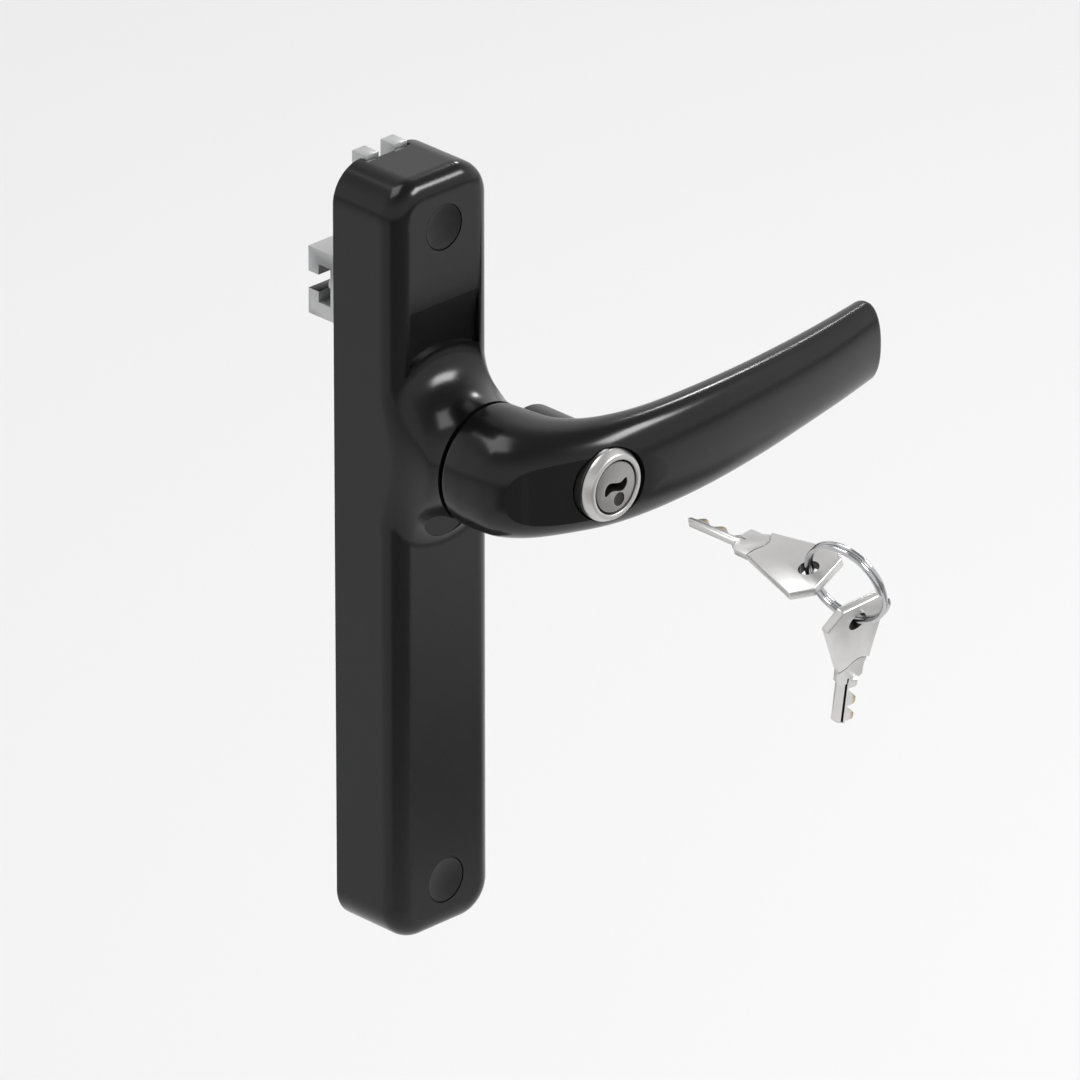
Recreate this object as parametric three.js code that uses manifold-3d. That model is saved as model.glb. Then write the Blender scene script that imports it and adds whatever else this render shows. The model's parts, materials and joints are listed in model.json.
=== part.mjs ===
// Lockable lever handle with a sliding fork drive, for a window or door sash.
// Millimetres. X to the right, Y into the sash, Z up. The origin lies on the
// turning axis of the lever, in the plane where the handle meets the sash.
import * as THREE from 'three';
import { mergeVertices } from 'three/addons/utils/BufferGeometryUtils.js';
import Module from 'manifold-3d';

const wasm = await Module();
wasm.setup();

// ---- driving dimensions -----------------------------------------------------
const GAP = 0.3;                  // clearance between neighbouring pieces

const BODY_HALF_WIDTH = 14;
const BODY_DEPTH = 18.1;
const BODY_TOP = 60.5;
const BODY_BOTTOM = -111.2;
const BODY_EDGE_RADIUS = 4.5;     // front edges of the housing
const CORNER_RADIUS = 8;          // corners of the housing seen from the front

const NECK_HEIGHT = 11.7;         // how far the neck stands out of the housing
const NECK_END_RADIUS = 13.2;
const NECK_FOOT_RADIUS = 22.4;
const NECK_BORE_RADIUS = 7.9;
const NECK_INNER_WALL_RADIUS = 9.4;

const WALL = 2.5;                 // front and side walls of the housing
const PLATE_THICKNESS = 1.7;
const PLATE_MARGIN = 2.3;         // from the housing's edge to the back plate's

const FIXING_Z = [49, -99.5];     // the two fixing screws, on the centre line
const CAP_RADIUS = 5.0;
const FIXING_SHANK_RADIUS = 1.9;

const LOCK_X = 11;                // lock axis, from the turning axis
const LOCK_FACE = 39;             // lock face, from the housing's front face
const LOCK_RADIUS = 7.9;
const LOCK_BORE_RADIUS = 8.2;
const PLUG_RADIUS = 5.5;
const PUSH_TRAVEL = 4.5;
const KEYWAY_ANGLE = THREE.MathUtils.degToRad(17);

const MODULE = 1;                 // size of the gear teeth
const PINION_TEETH = 16;
const PITCH_RADIUS = MODULE * PINION_TEETH / 2;
const RACK_TRAVEL = PITCH_RADIUS * Math.PI / 2;
const GEAR_REAR = -4.6;
const GEAR_FRONT = -9.9;

const KEY_STANDOFF = 21.9;        // key tip in front of the lock face
const KEY_LENGTH = 39.2;
const KEY_HOLE = 33.5;            // key ring hole, from the tip
const KEY_THICKNESS = 2;
const BLADE_LENGTH = 13.4;
const BLADE_WIDTH = 4.2;
const BLADE_THICKNESS = 1.6;
const KEYWAY_WIDTH = 6.6;
const KEYWAY_THICKNESS = 2.1;
const RING_RADIUS = 9.4;
const RING_WIRE_RADIUS = 0.55;
const RING_PITCH = 1.25;

const SPINDLE_HALF = 3.5;         // half the width of the square spindle

const RUNNER_Y = [-1.3, 2.9];     // flat bar that slides behind the housing
const RUNNER_Z = [17, 61.2];
const RUNNER_HALF_WIDTH = 5.75;
const RUNNER_CHANNEL = RUNNER_HALF_WIDTH + 0.35;
const STUD_Z = [25, 35];          // studs that join the rack to the runner
const STUD_RADIUS = 2.3;
const THREAD_RADIUS = 1.1;        // small screws, and the holes they stand in
const THREAD_HOLE_RADIUS = THREAD_RADIUS + GAP;

const BLOCK_Z = [20.7, 35.8];     // C-shaped drive block
const BLOCK_MIDDLE = (BLOCK_Z[0] + BLOCK_Z[1]) / 2;
const BLOCK_SCREW_X = 3.3;

// Back plate screws: two in the rails beside the runner, two below.
const PLATE_SCREWS = { left: [-8.9, 49], right: [8.9, 49], middle: [0, -36.5], lower: [0, -93.5] };

const BALL_RADIUS = 1.5;          // detent
const DETENT_Y = -12.3;
const NOTCH_Z = 7.8;              // ball centre when it sits in a notch
const BALL_Z = 8.5;               // ball centre when it is drawn back

const SPRING_X = -4.4;            // return spring, from the lock axis
const SPRING_BORE_RADIUS = 2.6;
const WAFER_Y = [4, 6.6, 9.2, 11.8];
const WAFER_THICKNESS = 0.9;

const FRONT = -BODY_DEPTH;        // Y of the housing's front face
const NECK_END = FRONT - NECK_HEIGHT;
const LEVER_REAR = NECK_END - 0.6;
const inFront = (distance) => FRONT - distance;

// ---- colours and finishes ---------------------------------------------------
const finishes = {
  black: { color: 0x1b1b1c, roughness: 0.3, metalness: 0 },
  zinc: { color: 0xb9babb, roughness: 0.45, metalness: 0.8 },
  nickel: { color: 0xb7b3ad, roughness: 0.35, metalness: 0.9 },
  steel: { color: 0x9fa3a6, roughness: 0.35, metalness: 0.9 },
  chrome: { color: 0xdfe1e4, roughness: 0.1, metalness: 1 },
  brass: { color: 0xc2a25a, roughness: 0.35, metalness: 0.9 },
  nylon: { color: 0xd8d6cd, roughness: 0.6, metalness: 0 },
};

// ---- shape helpers ----------------------------------------------------------
function signedVolume(geometry) {
  const p = geometry.attributes.position;
  const index = geometry.index;
  const [a, b, c] = [new THREE.Vector3(), new THREE.Vector3(), new THREE.Vector3()];
  let total = 0;
  for (let i = 0; i < index.count; i += 3) {
    a.fromBufferAttribute(p, index.getX(i));
    b.fromBufferAttribute(p, index.getX(i + 1));
    c.fromBufferAttribute(p, index.getX(i + 2));
    total += a.dot(b.cross(c)) / 6;
  }
  return total;
}

// One welded closed surface that faces outwards.
function weld(geometry) {
  const bare = geometry.clone();
  bare.deleteAttribute('normal');
  bare.deleteAttribute('uv');
  const welded = mergeVertices(bare, 1e-4);
  const index = Array.from(welded.index.array);
  const kept = [];
  for (let i = 0; i < index.length; i += 3) {
    const [a, b, c] = index.slice(i, i + 3);
    if (a !== b && b !== c && c !== a) kept.push(a, b, c);
  }
  welded.setIndex(kept);
  if (signedVolume(welded) < 0) {
    for (let i = 0; i < kept.length; i += 3) {
      [kept[i], kept[i + 1]] = [kept[i + 1], kept[i]];
    }
    welded.setIndex(kept);
  }
  return welded;
}

function solid(geometry) {
  const welded = weld(geometry);
  return new wasm.Manifold(new wasm.Mesh({
    numProp: 3,
    vertProperties: Float32Array.from(welded.attributes.position.array),
    triVerts: Uint32Array.from(welded.index.array),
  }));
}

const join = (first, ...others) => others.reduce((sum, other) => sum.add(other), first);
const cut = (first, ...others) => others.reduce((left, other) => left.subtract(other), first);

function surface(manifold) {
  const mesh = manifold.getMesh();
  const geometry = new THREE.BufferGeometry();
  const positions = new Float32Array(mesh.vertProperties);
  geometry.setAttribute('position', new THREE.BufferAttribute(positions, 3));
  geometry.setIndex(Array.from(mesh.triVerts));
  geometry.computeVertexNormals();
  return geometry;
}

function block(x, y, z) {
  const geometry = new THREE.BoxGeometry(x[1] - x[0], y[1] - y[0], z[1] - z[0]);
  geometry.translate((x[0] + x[1]) / 2, (y[0] + y[1]) / 2, (z[0] + z[1]) / 2);
  return solid(geometry);
}

// A round bar along Y.
function rod(radius, y, segments = 32, x = 0, z = 0) {
  const geometry = new THREE.CylinderGeometry(radius, radius, y[1] - y[0], segments);
  geometry.translate(x, (y[0] + y[1]) / 2, z);
  return solid(geometry);
}

// A round bar along Z.
function post(radius, z, segments, x, y) {
  const geometry = new THREE.CylinderGeometry(radius, radius, z[1] - z[0], segments);
  geometry.rotateX(Math.PI / 2);
  geometry.translate(x, y, (z[0] + z[1]) / 2);
  return solid(geometry);
}

// A shape turned about Y, from [radius, y] points.
function turned(points, segments = 32) {
  const profile = points.map(([r, y]) => new THREE.Vector2(r, y));
  return solid(new THREE.LatheGeometry(profile, segments));
}

function ring(inner, outer, y, segments = 32) {
  const profile = [[inner, y[0]], [outer, y[0]], [outer, y[1]], [inner, y[1]], [inner, y[0]]];
  return turned(profile, segments);
}

// An outline of [x, z] points carried along Y.
function prism(points, y) {
  const shape = new THREE.Shape(points.map(([px, pz]) => new THREE.Vector2(px, pz)));
  const geometry = new THREE.ExtrudeGeometry(shape, { depth: y[1] - y[0], bevelEnabled: false });
  geometry.rotateX(Math.PI / 2);
  geometry.translate(0, y[1], 0);
  return solid(geometry);
}

// A closed skin over a row of rings with equal point counts, capped at both ends.
function loft(rings) {
  const count = rings[0].length;
  const vertices = rings.flat();
  const middle = (points) => points.reduce((sum, p) => sum.add(p), new THREE.Vector3())
    .divideScalar(points.length);
  const startCentre = vertices.push(middle(rings[0])) - 1;
  const endCentre = vertices.push(middle(rings[rings.length - 1])) - 1;
  const last = (rings.length - 1) * count;
  const index = [];
  for (let i = 0; i < count; i += 1) {
    const next = (i + 1) % count;
    for (let r = 0; r < rings.length - 1; r += 1) {
      const a = r * count + i;
      const b = r * count + next;
      index.push(a, b, b + count, a, b + count, a + count);
    }
    index.push(startCentre, next, i);
    index.push(endCentre, last + i, last + next);
  }
  const geometry = new THREE.BufferGeometry().setFromPoints(vertices);
  geometry.setIndex(index);
  return solid(geometry);
}

// A wire of one radius along a curve.
function wire(curve, radius, steps, sides) {
  const section = new THREE.Shape();
  for (let i = 0; i < sides; i += 1) {
    const angle = 2 * Math.PI * i / sides;
    const x = radius * Math.cos(angle);
    const y = radius * Math.sin(angle);
    if (i === 0) section.moveTo(x, y);
    else section.lineTo(x, y);
  }
  section.closePath();
  const options = { steps, bevelEnabled: false, extrudePath: curve };
  return new THREE.ExtrudeGeometry(section, options);
}

class Coil extends THREE.Curve {
  constructor(radius, pitch, turns) {
    super();
    Object.assign(this, { radius, pitch, turns });
  }

  getPoint(t, target = new THREE.Vector3()) {
    const angle = 2 * Math.PI * this.turns * t;
    const along = this.pitch * this.turns * (t - 0.5);
    return target.set(this.radius * Math.cos(angle), along, this.radius * Math.sin(angle));
  }
}

function coil(radius, wireRadius, length, turns, sides = 6) {
  const curve = new Coil(radius, (length - 2 * wireRadius) / turns, turns);
  return weld(wire(curve, wireRadius, Math.round(turns * 10), sides));
}

// ---- assembling -------------------------------------------------------------
const handle = new THREE.Group();

function place(name, shape, finish, parent = handle) {
  const geometry = shape.isBufferGeometry ? shape : surface(shape);
  const mesh = new THREE.Mesh(geometry, new THREE.MeshStandardMaterial(finishes[finish]));
  mesh.name = name;
  parent.add(mesh);
  return mesh;
}

function groupAt(x, y, z, parent = handle) {
  const group = new THREE.Group();
  group.position.set(x, y, z);
  parent.add(group);
  return group;
}

// ---- housing ----------------------------------------------------------------
// Rectangle with round corners, drawn in from its edge by the inset.
function roundedRectangle(inset, cornerRadius = CORNER_RADIUS, steps = 6) {
  const radius = Math.max(cornerRadius - inset, 0.5);
  const x = BODY_HALF_WIDTH - inset - radius;
  const top = BODY_TOP - inset - radius;
  const bottom = BODY_BOTTOM + inset + radius;
  const centres = [[x, top], [-x, top], [-x, bottom], [x, bottom]];
  const points = [];
  centres.forEach(([cx, cz], corner) => {
    for (let i = 0; i <= steps; i += 1) {
      const angle = (corner + i / steps) * Math.PI / 2;
      points.push([cx + radius * Math.cos(angle), cz + radius * Math.sin(angle)]);
    }
  });
  return points;
}

function bodyBlock() {
  const level = (inset, y) => roundedRectangle(inset).map(([x, z]) => new THREE.Vector3(x, y, z));
  const rings = [level(0, 0)];
  const steps = 4;
  for (let i = 0; i <= steps; i += 1) {
    const angle = i / steps * Math.PI / 2;
    const inset = BODY_EDGE_RADIUS * (1 - Math.cos(angle));
    rings.push(level(inset, FRONT + BODY_EDGE_RADIUS * (1 - Math.sin(angle))));
  }
  return loft(rings);
}

// The neck flares into the front face along a quarter of an ellipse.
function flaredNeck() {
  const flare = NECK_FOOT_RADIUS - NECK_END_RADIUS;
  const profile = [[0, FRONT + 6], [NECK_FOOT_RADIUS, FRONT + 6]];
  const steps = 9;
  for (let i = 0; i <= steps; i += 1) {
    const angle = i / steps * Math.PI / 2;
    const radius = NECK_FOOT_RADIUS - flare * Math.sin(angle);
    profile.push([radius, FRONT - NECK_HEIGHT * (1 - Math.cos(angle))]);
  }
  profile.push([0, NECK_END]);
  const x = [-BODY_HALF_WIDTH, BODY_HALF_WIDTH];
  const sides = block(x, [NECK_END - 1, FRONT + 7], [-30, 30]);
  return turned(profile, 64).intersect(sides);
}

// Shallow hollow across the front face above the neck.
function frontScoop() {
  const radius = 60;
  const depth = 0.9;
  const topEdge = 32.4;
  const reach = Math.sqrt(radius ** 2 - (radius - depth) ** 2);
  const geometry = new THREE.CylinderGeometry(radius, radius, 19.6, 160);
  geometry.rotateZ(Math.PI / 2);
  geometry.translate(0, FRONT + depth - radius, topEdge - reach);
  return solid(geometry);
}

// The nose of the lock drops into this pocket when it stands at the given angle.
function lockPocket(x, z) {
  const floor = inFront(0.4);
  const round = rod(8.9, [NECK_END - 1, floor], 40, x, z);
  return cut(round, rod(NECK_INNER_WALL_RADIUS, [NECK_END - 2, floor + 1], 40));
}

function screwWell(z) {
  const recess = FRONT + 2.2;
  const headRadius = 4.3;
  const holeRadius = FIXING_SHANK_RADIUS + GAP;
  const profile = [
    [0, FRONT - 1], [CAP_RADIUS + GAP, FRONT - 1], [CAP_RADIUS + GAP, recess], [headRadius, recess],
    [headRadius, recess + 1.4], [holeRadius, recess + 3.6], [holeRadius, 1], [0, 1],
  ];
  return turned(profile, 32).translate([0, 0, z]);
}

function housing() {
  const plateRecess = prism(roundedRectangle(PLATE_MARGIN - GAP), [-PLATE_THICKNESS - GAP, 1]);
  const cavityX = [-BODY_HALF_WIDTH + WALL - 0.1, BODY_HALF_WIDTH - WALL + 0.1];
  const cavityY = [FRONT + WALL, -1];
  const gearCavity = block(cavityX, cavityY, [-34, 41]);
  const lowerCavity = block(cavityX, cavityY, [-90, -39]);
  const bore = rod(NECK_BORE_RADIUS, [NECK_END - 1, FRONT + WALL + 1], 40);
  const plateScrewHoles = Object.values(PLATE_SCREWS)
    .map(([x, z]) => rod(THREAD_HOLE_RADIUS, [-9, 0], 16, x, z));
  const runnerNotch = block([-RUNNER_CHANNEL, RUNNER_CHANNEL], [-PLATE_THICKNESS - GAP, 1], [50, 70]);
  return cut(
    join(cut(bodyBlock(), frontScoop()), flaredNeck()),
    plateRecess, gearCavity, lowerCavity, bore,
    lockPocket(LOCK_X, 0), lockPocket(0, -LOCK_X),
    runnerNotch, ...FIXING_Z.map(screwWell), ...plateScrewHoles,
  );
}

// ---- back plate, its screws, fixing screws and caps -------------------------
function slot(halfWidth, low, high, y) {
  return join(
    block([-halfWidth, halfWidth], y, [low + halfWidth, high - halfWidth]),
    rod(halfWidth, y, 24, 0, low + halfWidth),
    rod(halfWidth, y, 24, 0, high - halfWidth),
  );
}

function backPlate() {
  const through = [-PLATE_THICKNESS - 1, 1];
  const channelLow = RUNNER_Z[0] - RACK_TRAVEL - 0.5;
  const channel = block([-RUNNER_CHANNEL, RUNNER_CHANNEL], through, [channelLow, 70]);
  const fixingHole = rod(FIXING_SHANK_RADIUS + GAP, through, 24, 0, FIXING_Z[1]);
  const sink = [[0, -2], [1.4, -2], [1.4, -1.4], [2.6, 0], [2.6, 1], [0, 1]];
  const sinks = Object.values(PLATE_SCREWS).map(([x, z]) => turned(sink, 20).translate([x, 0, z]));
  return cut(
    prism(roundedRectangle(PLATE_MARGIN), [-PLATE_THICKNESS, 0]),
    channel, fixingHole, ...sinks,
  );
}

function plateScrew() {
  const profile = [[0, -8], [1.1, -8], [1.1, -1.2], [2.1, -0.2], [0, -0.2]];
  return cut(turned(profile, 16), block([-1.6, 1.6], [-0.7, 1], [-0.25, 0.25]));
}

function fixingScrew() {
  const headTop = FRONT + 2.9;
  const profile = [
    [0, headTop], [3.8, headTop], [3.8, headTop + 0.6], [FIXING_SHANK_RADIUS, headTop + 2.6],
    [FIXING_SHANK_RADIUS, 8.4], [1.3, 9], [0, 9],
  ];
  const socket = rod(1.4, [headTop - 1, headTop + 1.6], 6);
  return cut(turned(profile, 24), socket);
}

// A cap closes the screw well, its front face dished.
function screwCap() {
  const rear = FRONT + 1.9;
  const rim = FRONT + 0.15;
  const dish = 0.75;
  const profile = [[0, rear], [CAP_RADIUS, rear], [CAP_RADIUS, rim]];
  const steps = 5;
  for (let i = 0; i <= steps; i += 1) {
    const r = (CAP_RADIUS - 0.3) * (1 - i / steps);
    profile.push([r, rim + dish * (1 - (r / CAP_RADIUS) ** 2)]);
  }
  return turned(profile, 32);
}

// ---- turning parts inside the housing ---------------------------------------
function neckBush() {
  return ring(6.5, NECK_BORE_RADIUS - GAP, [NECK_END + 0.4, FRONT + WALL + 0.2], 40);
}

function spindle() {
  const rear = -2.4;
  const half = [-SPINDLE_HALF, SPINDLE_HALF];
  const bar = block(half, [LEVER_REAR - 1.2, rear], half);
  const groove = ring(3, 8, [-4.3, -3.1], 24);
  return cut(bar, groove);
}

function spindleClip() {
  const mouth = block([-1.6, 1.6], [-5, -3], [-9, 0]);
  return cut(ring(3.3, 6.6, [-4.0, -3.4], 28), mouth);
}

function frictionWasher() {
  return ring(5.4, 9.2, [FRONT + WALL + 0.3, FRONT + WALL + 0.9], 28);
}

// Straight-flanked teeth, each narrower than its space by the running clearance.
function pinionOutline() {
  const points = [];
  const rootRadius = PITCH_RADIUS - 1.3 * MODULE;
  const tipRadius = PITCH_RADIUS + 0.9 * MODULE;
  const halfRoot = 1.0 / rootRadius;
  const halfTip = 0.35 / tipRadius;
  for (let tooth = 0; tooth < PINION_TEETH; tooth += 1) {
    const centre = (tooth + 0.5) * 2 * Math.PI / PINION_TEETH;
    const corners = [
      [centre - halfRoot, rootRadius], [centre - halfTip, tipRadius],
      [centre + halfTip, tipRadius], [centre + halfRoot, rootRadius],
    ];
    corners.forEach(([angle, r]) => points.push([r * Math.cos(angle), r * Math.sin(angle)]));
  }
  return points;
}

function pinion() {
  const hubRadius = 6.9;
  const hubFront = FRONT + WALL + 1.2;
  const half = SPINDLE_HALF + GAP;
  const ball = new THREE.SphereGeometry(BALL_RADIUS + GAP, 16, 12);
  const notchAt = (x, z) => solid(ball.clone().translate(x, DETENT_Y, z));
  return cut(
    join(prism(pinionOutline(), [GEAR_FRONT, GEAR_REAR]), rod(hubRadius, [hubFront, GEAR_FRONT + 1], 40)),
    block([-half, half], [-20, 0], [-half, half]),
    notchAt(0, -NOTCH_Z), notchAt(NOTCH_Z, 0),
  );
}

// ---- detent -----------------------------------------------------------------
function detentBlock() {
  const body = block([-5, 5], [-14.4, -10.2], [-24, -7.5]);
  return cut(body, post(BALL_RADIUS + GAP, [-22, -6], 20, 0, DETENT_Y));
}

// ---- rack and slider --------------------------------------------------------
function rack() {
  const pitch = Math.PI * MODULE;
  const rootX = PITCH_RADIUS + 1.3 * MODULE;
  const tipX = PITCH_RADIUS - 0.95 * MODULE;
  const teeth = [];
  for (let n = -2; n <= 6; n += 1) {
    const z = n * pitch;
    const outline = [
      [rootX + 0.2, z - 1.05], [rootX + 0.2, z + 1.05], [tipX, z + 0.35], [tipX, z - 0.35],
    ];
    teeth.push(prism(outline, [GEAR_FRONT, GEAR_REAR]));
  }
  const gearY = [GEAR_FRONT, GEAR_REAR];
  const studs = STUD_Z.map((z) => rod(STUD_RADIUS, [GEAR_REAR - 1, RUNNER_Y[0] - GAP], 24, 0, z));
  const threads = STUD_Z.map((z) => rod(THREAD_HOLE_RADIUS, [-7, 1], 16, 0, z));
  return cut(
    join(block([rootX, 11.2], gearY, [-8, 38]), block([-5, 10], gearY, [22.3, 38]), ...teeth, ...studs),
    ...threads,
  );
}

// Flat bar behind the back plate: its forked top straddles the upper fixing screw.
function runnerBar() {
  const prong = 3.5;
  const halfWidth = RUNNER_HALF_WIDTH;
  const halfGap = halfWidth - prong;
  const forkRoot = 43.5;
  const top = RUNNER_Z[1];
  const y = RUNNER_Y;
  const counterbore = [y[1] - 1.6, y[1] + 1];
  const through = [y[0] - 1, y[1] + 1];
  return cut(
    block([-halfWidth, halfWidth], y, RUNNER_Z),
    slot(halfGap, forkRoot, top + 10, through),
    ...STUD_Z.map((z) => rod(THREAD_HOLE_RADIUS, through, 16, 0, z)),
    ...STUD_Z.map((z) => rod(2.5, counterbore, 20, 0, z)),
    ...[-1, 1].map((side) => rod(
      THREAD_HOLE_RADIUS, [0, y[1] + 1], 16, side * BLOCK_SCREW_X, BLOCK_MIDDLE,
    )),
  );
}

function runnerScrew() {
  const seat = RUNNER_Y[1] - 1.3;
  const top = RUNNER_Y[1] - 0.1;
  const profile = [[0, -6], [1.1, -6], [1.1, seat], [2.2, seat], [2.2, top], [0, top]];
  return cut(turned(profile, 16), rod(1, [top - 0.8, top + 1], 6));
}

// C-shaped block, its T-slot open to the rear and along X.
function driveBlock() {
  const lip = 3;
  const rear = 15.8;
  const cavityFront = 9.3;
  const mouthHalf = 1.9;
  const cavityHalf = 4.3;
  const across = [-7, 7];
  const z = BLOCK_MIDDLE;
  const holes = [-1, 1].map((side) => rod(THREAD_HOLE_RADIUS, [2, 10], 16, side * BLOCK_SCREW_X, z));
  return cut(
    block([-6, 6], [RUNNER_Y[1] + GAP, rear], BLOCK_Z),
    block(across, [cavityFront, rear - lip], [z - cavityHalf, z + cavityHalf]),
    block(across, [cavityFront, rear + 1], [z - mouthHalf, z + mouthHalf]),
    ...holes,
  );
}

function blockScrew() {
  const profile = [[0, 0.3], [1.1, 0.3], [1.1, 9.6], [1.8, 9.6], [1.8, 10.8], [0, 10.8]];
  return cut(turned(profile, 16), rod(0.8, [10, 11.5], 6));
}

// ---- lever ------------------------------------------------------------------
// Each station of the lever: its front and back edge in plan, as [x, distance in
// front of the housing], and half its height.
const leverStations = [
  { front: [-13.2, 12.3], back: [13.2, 12.3], half: 13.2 },
  { front: [-13.1, 17.5], back: [13.3, 14.0], half: 13.0 },
  { front: [-12.0, 24.5], back: [13.8, 16.8], half: 12.5 },
  { front: [-7.8, 30.2], back: [15.0, 20.2], half: 12.0 },
  { front: [1.0, 35.2], back: [17.6, 23.2], half: 11.6 },
  { front: [12.0, 38.5], back: [22.0, 25.6], half: 11.5 },
  { front: [25.5, 39.5], back: [28.5, 27.0], half: 11.3 },
  { front: [41.4, 38.8], back: [40.4, 27.2], half: 11.0 },
  { front: [57.6, 36.8], back: [56.2, 26.0], half: 10.4 },
  { front: [73.6, 34.0], back: [71.8, 23.8], half: 9.7 },
  { front: [87.4, 31.0], back: [85.4, 21.7], half: 9.1 },
  { front: [96.8, 28.6], back: [94.8, 20.2], half: 8.5 },
  { front: [99.8, 26.6], back: [98.8, 21.2], half: 6.8 },
];

// Oval section through a station: flatter than an ellipse on its faces.
function leverRing({ front, back, half }, count) {
  const power = 2 / 2.3;
  const soften = (value) => Math.sign(value) * Math.abs(value) ** power;
  const middle = [(front[0] + back[0]) / 2, (front[1] + back[1]) / 2];
  const reach = [(front[0] - back[0]) / 2, (front[1] - back[1]) / 2];
  const points = [];
  const round = half === NECK_END_RADIUS && front[1] === back[1];
  for (let i = 0; i < count; i += 1) {
    const angle = 2 * Math.PI * i / count;
    const c = round ? Math.cos(angle) : soften(Math.cos(angle));
    const s = round ? Math.sin(angle) : soften(Math.sin(angle));
    points.push(new THREE.Vector3(
      middle[0] + c * reach[0], inFront(middle[1] + c * reach[1]), s * half,
    ));
  }
  return points;
}

// The smooth oval face round the lock is ruled along Z over an arc in plan.
const FACET_CENTRE = [29, -31.2];
const FACET_RADIUS = 70.8;

function facetCutter() {
  const outline = [];
  const steps = 14;
  for (let i = 0; i <= steps; i += 1) {
    const x = -16 + (FACET_CENTRE[0] + 16) * i / steps;
    const rise = Math.sqrt(FACET_RADIUS ** 2 - (x - FACET_CENTRE[0]) ** 2);
    outline.push(new THREE.Vector2(x, inFront(FACET_CENTRE[1] + rise)));
  }
  outline.push(new THREE.Vector2(FACET_CENTRE[0], inFront(50)));
  outline.push(new THREE.Vector2(-16, inFront(50)));
  const options = { depth: 40, bevelEnabled: false };
  const geometry = new THREE.ExtrudeGeometry(new THREE.Shape(outline), options);
  geometry.translate(0, 0, -20);
  return solid(geometry);
}

const LOCK_BORE_FLOOR = inFront(14.6);
const GUIDE_PIN_Y = inFront(24);
const CATCH_Y = inFront(23);

// The nose of the lock keeps clear of the neck's inner wall.
function noseShape(radius, y, wallRadius) {
  return cut(rod(radius, y, 40, LOCK_X, 0), rod(wallRadius, [y[0] - 1, y[1] + 1], 40));
}

function lever() {
  const count = 28;
  const blank = loft(leverStations.map((station) => leverRing(station, count)));
  const boss = rod(9.6, [inFront(32), LEVER_REAR], 40, LOCK_X, 0);
  const spigotEnd = -20;
  const spigot = rod(6.2, [LEVER_REAR - 1, spigotEnd], 32);
  const half = SPINDLE_HALF + GAP;
  const socket = block([-half, half], [LEVER_REAR - 1.5, spigotEnd + 1], [-half, half]);
  return cut(
    join(cut(blank, facetCutter()), boss, spigot),
    rod(LOCK_BORE_RADIUS, [inFront(60), LOCK_BORE_FLOOR], 48, LOCK_X, 0),
    noseShape(LOCK_BORE_RADIUS, [LOCK_BORE_FLOOR - 1, LEVER_REAR + 1], NECK_INNER_WALL_RADIUS),
    socket,
    post(1.3, [-20, -6], 16, LOCK_X, GUIDE_PIN_Y),
    post(1.6, [7, 9.4], 16, LOCK_X, CATCH_Y + PUSH_TRAVEL),
  );
}

// ---- lock -------------------------------------------------------------------
// Section of the key blade and, with clearance, of the keyway: a shallow S.
function bladeSection(width, thickness) {
  const bend = 0.75;
  const steps = 10;
  const upper = [];
  const lower = [];
  for (let i = 0; i <= steps; i += 1) {
    const across = (i / steps - 0.5) * width;
    const middle = -bend * Math.sin(2 * Math.PI * across / KEYWAY_WIDTH);
    upper.push([across, middle + thickness / 2]);
    lower.unshift([across, middle - thickness / 2]);
  }
  return upper.concat(lower);
}

// Pieces of the lock are drawn about their own axis, with y measured from the lock face.
function lockFlange() {
  const bevel = 1.1;
  const profile = [
    [5.9, 2.2], [5.9, 0.15], [6.1, 0], [6.5, 0], [LOCK_RADIUS, bevel], [LOCK_RADIUS, 2.2], [5.9, 2.2],
  ];
  return turned(profile, 48);
}

function lockSleeve() {
  const radius = LOCK_RADIUS;
  const front = 2.5;
  const rear = LOCK_FACE - 19.5;
  const nose = noseShape(radius, [rear - 1, LOCK_FACE - 12.9], NECK_INNER_WALL_RADIUS + 0.4);
  const pinFromFace = inFront(LOCK_FACE) - GUIDE_PIN_Y;
  const guideSlot = [-pinFromFace - PUSH_TRAVEL - 1.3, -pinFromFace + 1.3];
  const catchFromFace = CATCH_Y - inFront(LOCK_FACE);
  return cut(
    join(rod(radius, [front, rear], 40), nose.translate([-LOCK_X, 0, 0])),
    rod(PLUG_RADIUS + GAP, [0, LOCK_FACE - 21.5], 40),
    block([-1.3, 1.3], guideSlot, [-9, -6.6]),
    post(1.5, [4, 9], 16, 0, catchFromFace),
    rod(SPRING_BORE_RADIUS, [LOCK_FACE - 21.2, rear + 1], 20, SPRING_X, 0),
  );
}

// Drawn with the keyway level; the lock group turns it to the keyway angle.
function lockPlug() {
  const length = LOCK_FACE - 24.5;
  const slots = WAFER_Y.map((y) => block(
    [-6, 6], [y - GAP, y + WAFER_THICKNESS + GAP], [-2.7, 2.7],
  ));
  return cut(
    rod(PLUG_RADIUS, [0.2, length], 40),
    prism(bladeSection(KEYWAY_WIDTH, KEYWAY_THICKNESS), [-1, length + 1]),
    ...slots,
  );
}

// A wafer slides across the plug; the key passes through its window.
function wafer(y) {
  const plate = block([-5.1, 5.1], [y, y + WAFER_THICKNESS], [-2.4, 2.4]);
  const section = bladeSection(KEYWAY_WIDTH + 0.7, KEYWAY_THICKNESS + GAP);
  const window = prism(section, [y - 1, y + WAFER_THICKNESS + 1]);
  return cut(plate.intersect(rod(5.2, [y - 1, y + 2], 32)), window);
}

function lockingCam() {
  const front = LOCK_FACE - 24.2;
  const rear = LOCK_FACE - 21.8;
  return join(rod(3.1, [front, rear], 24), rod(3.0, [front, rear], 24, 0, 1));
}

function catchPin() {
  const y = CATCH_Y - inFront(LOCK_FACE);
  return post(1.2, [4.3, 7.7], 16, 0, y);
}

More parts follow.
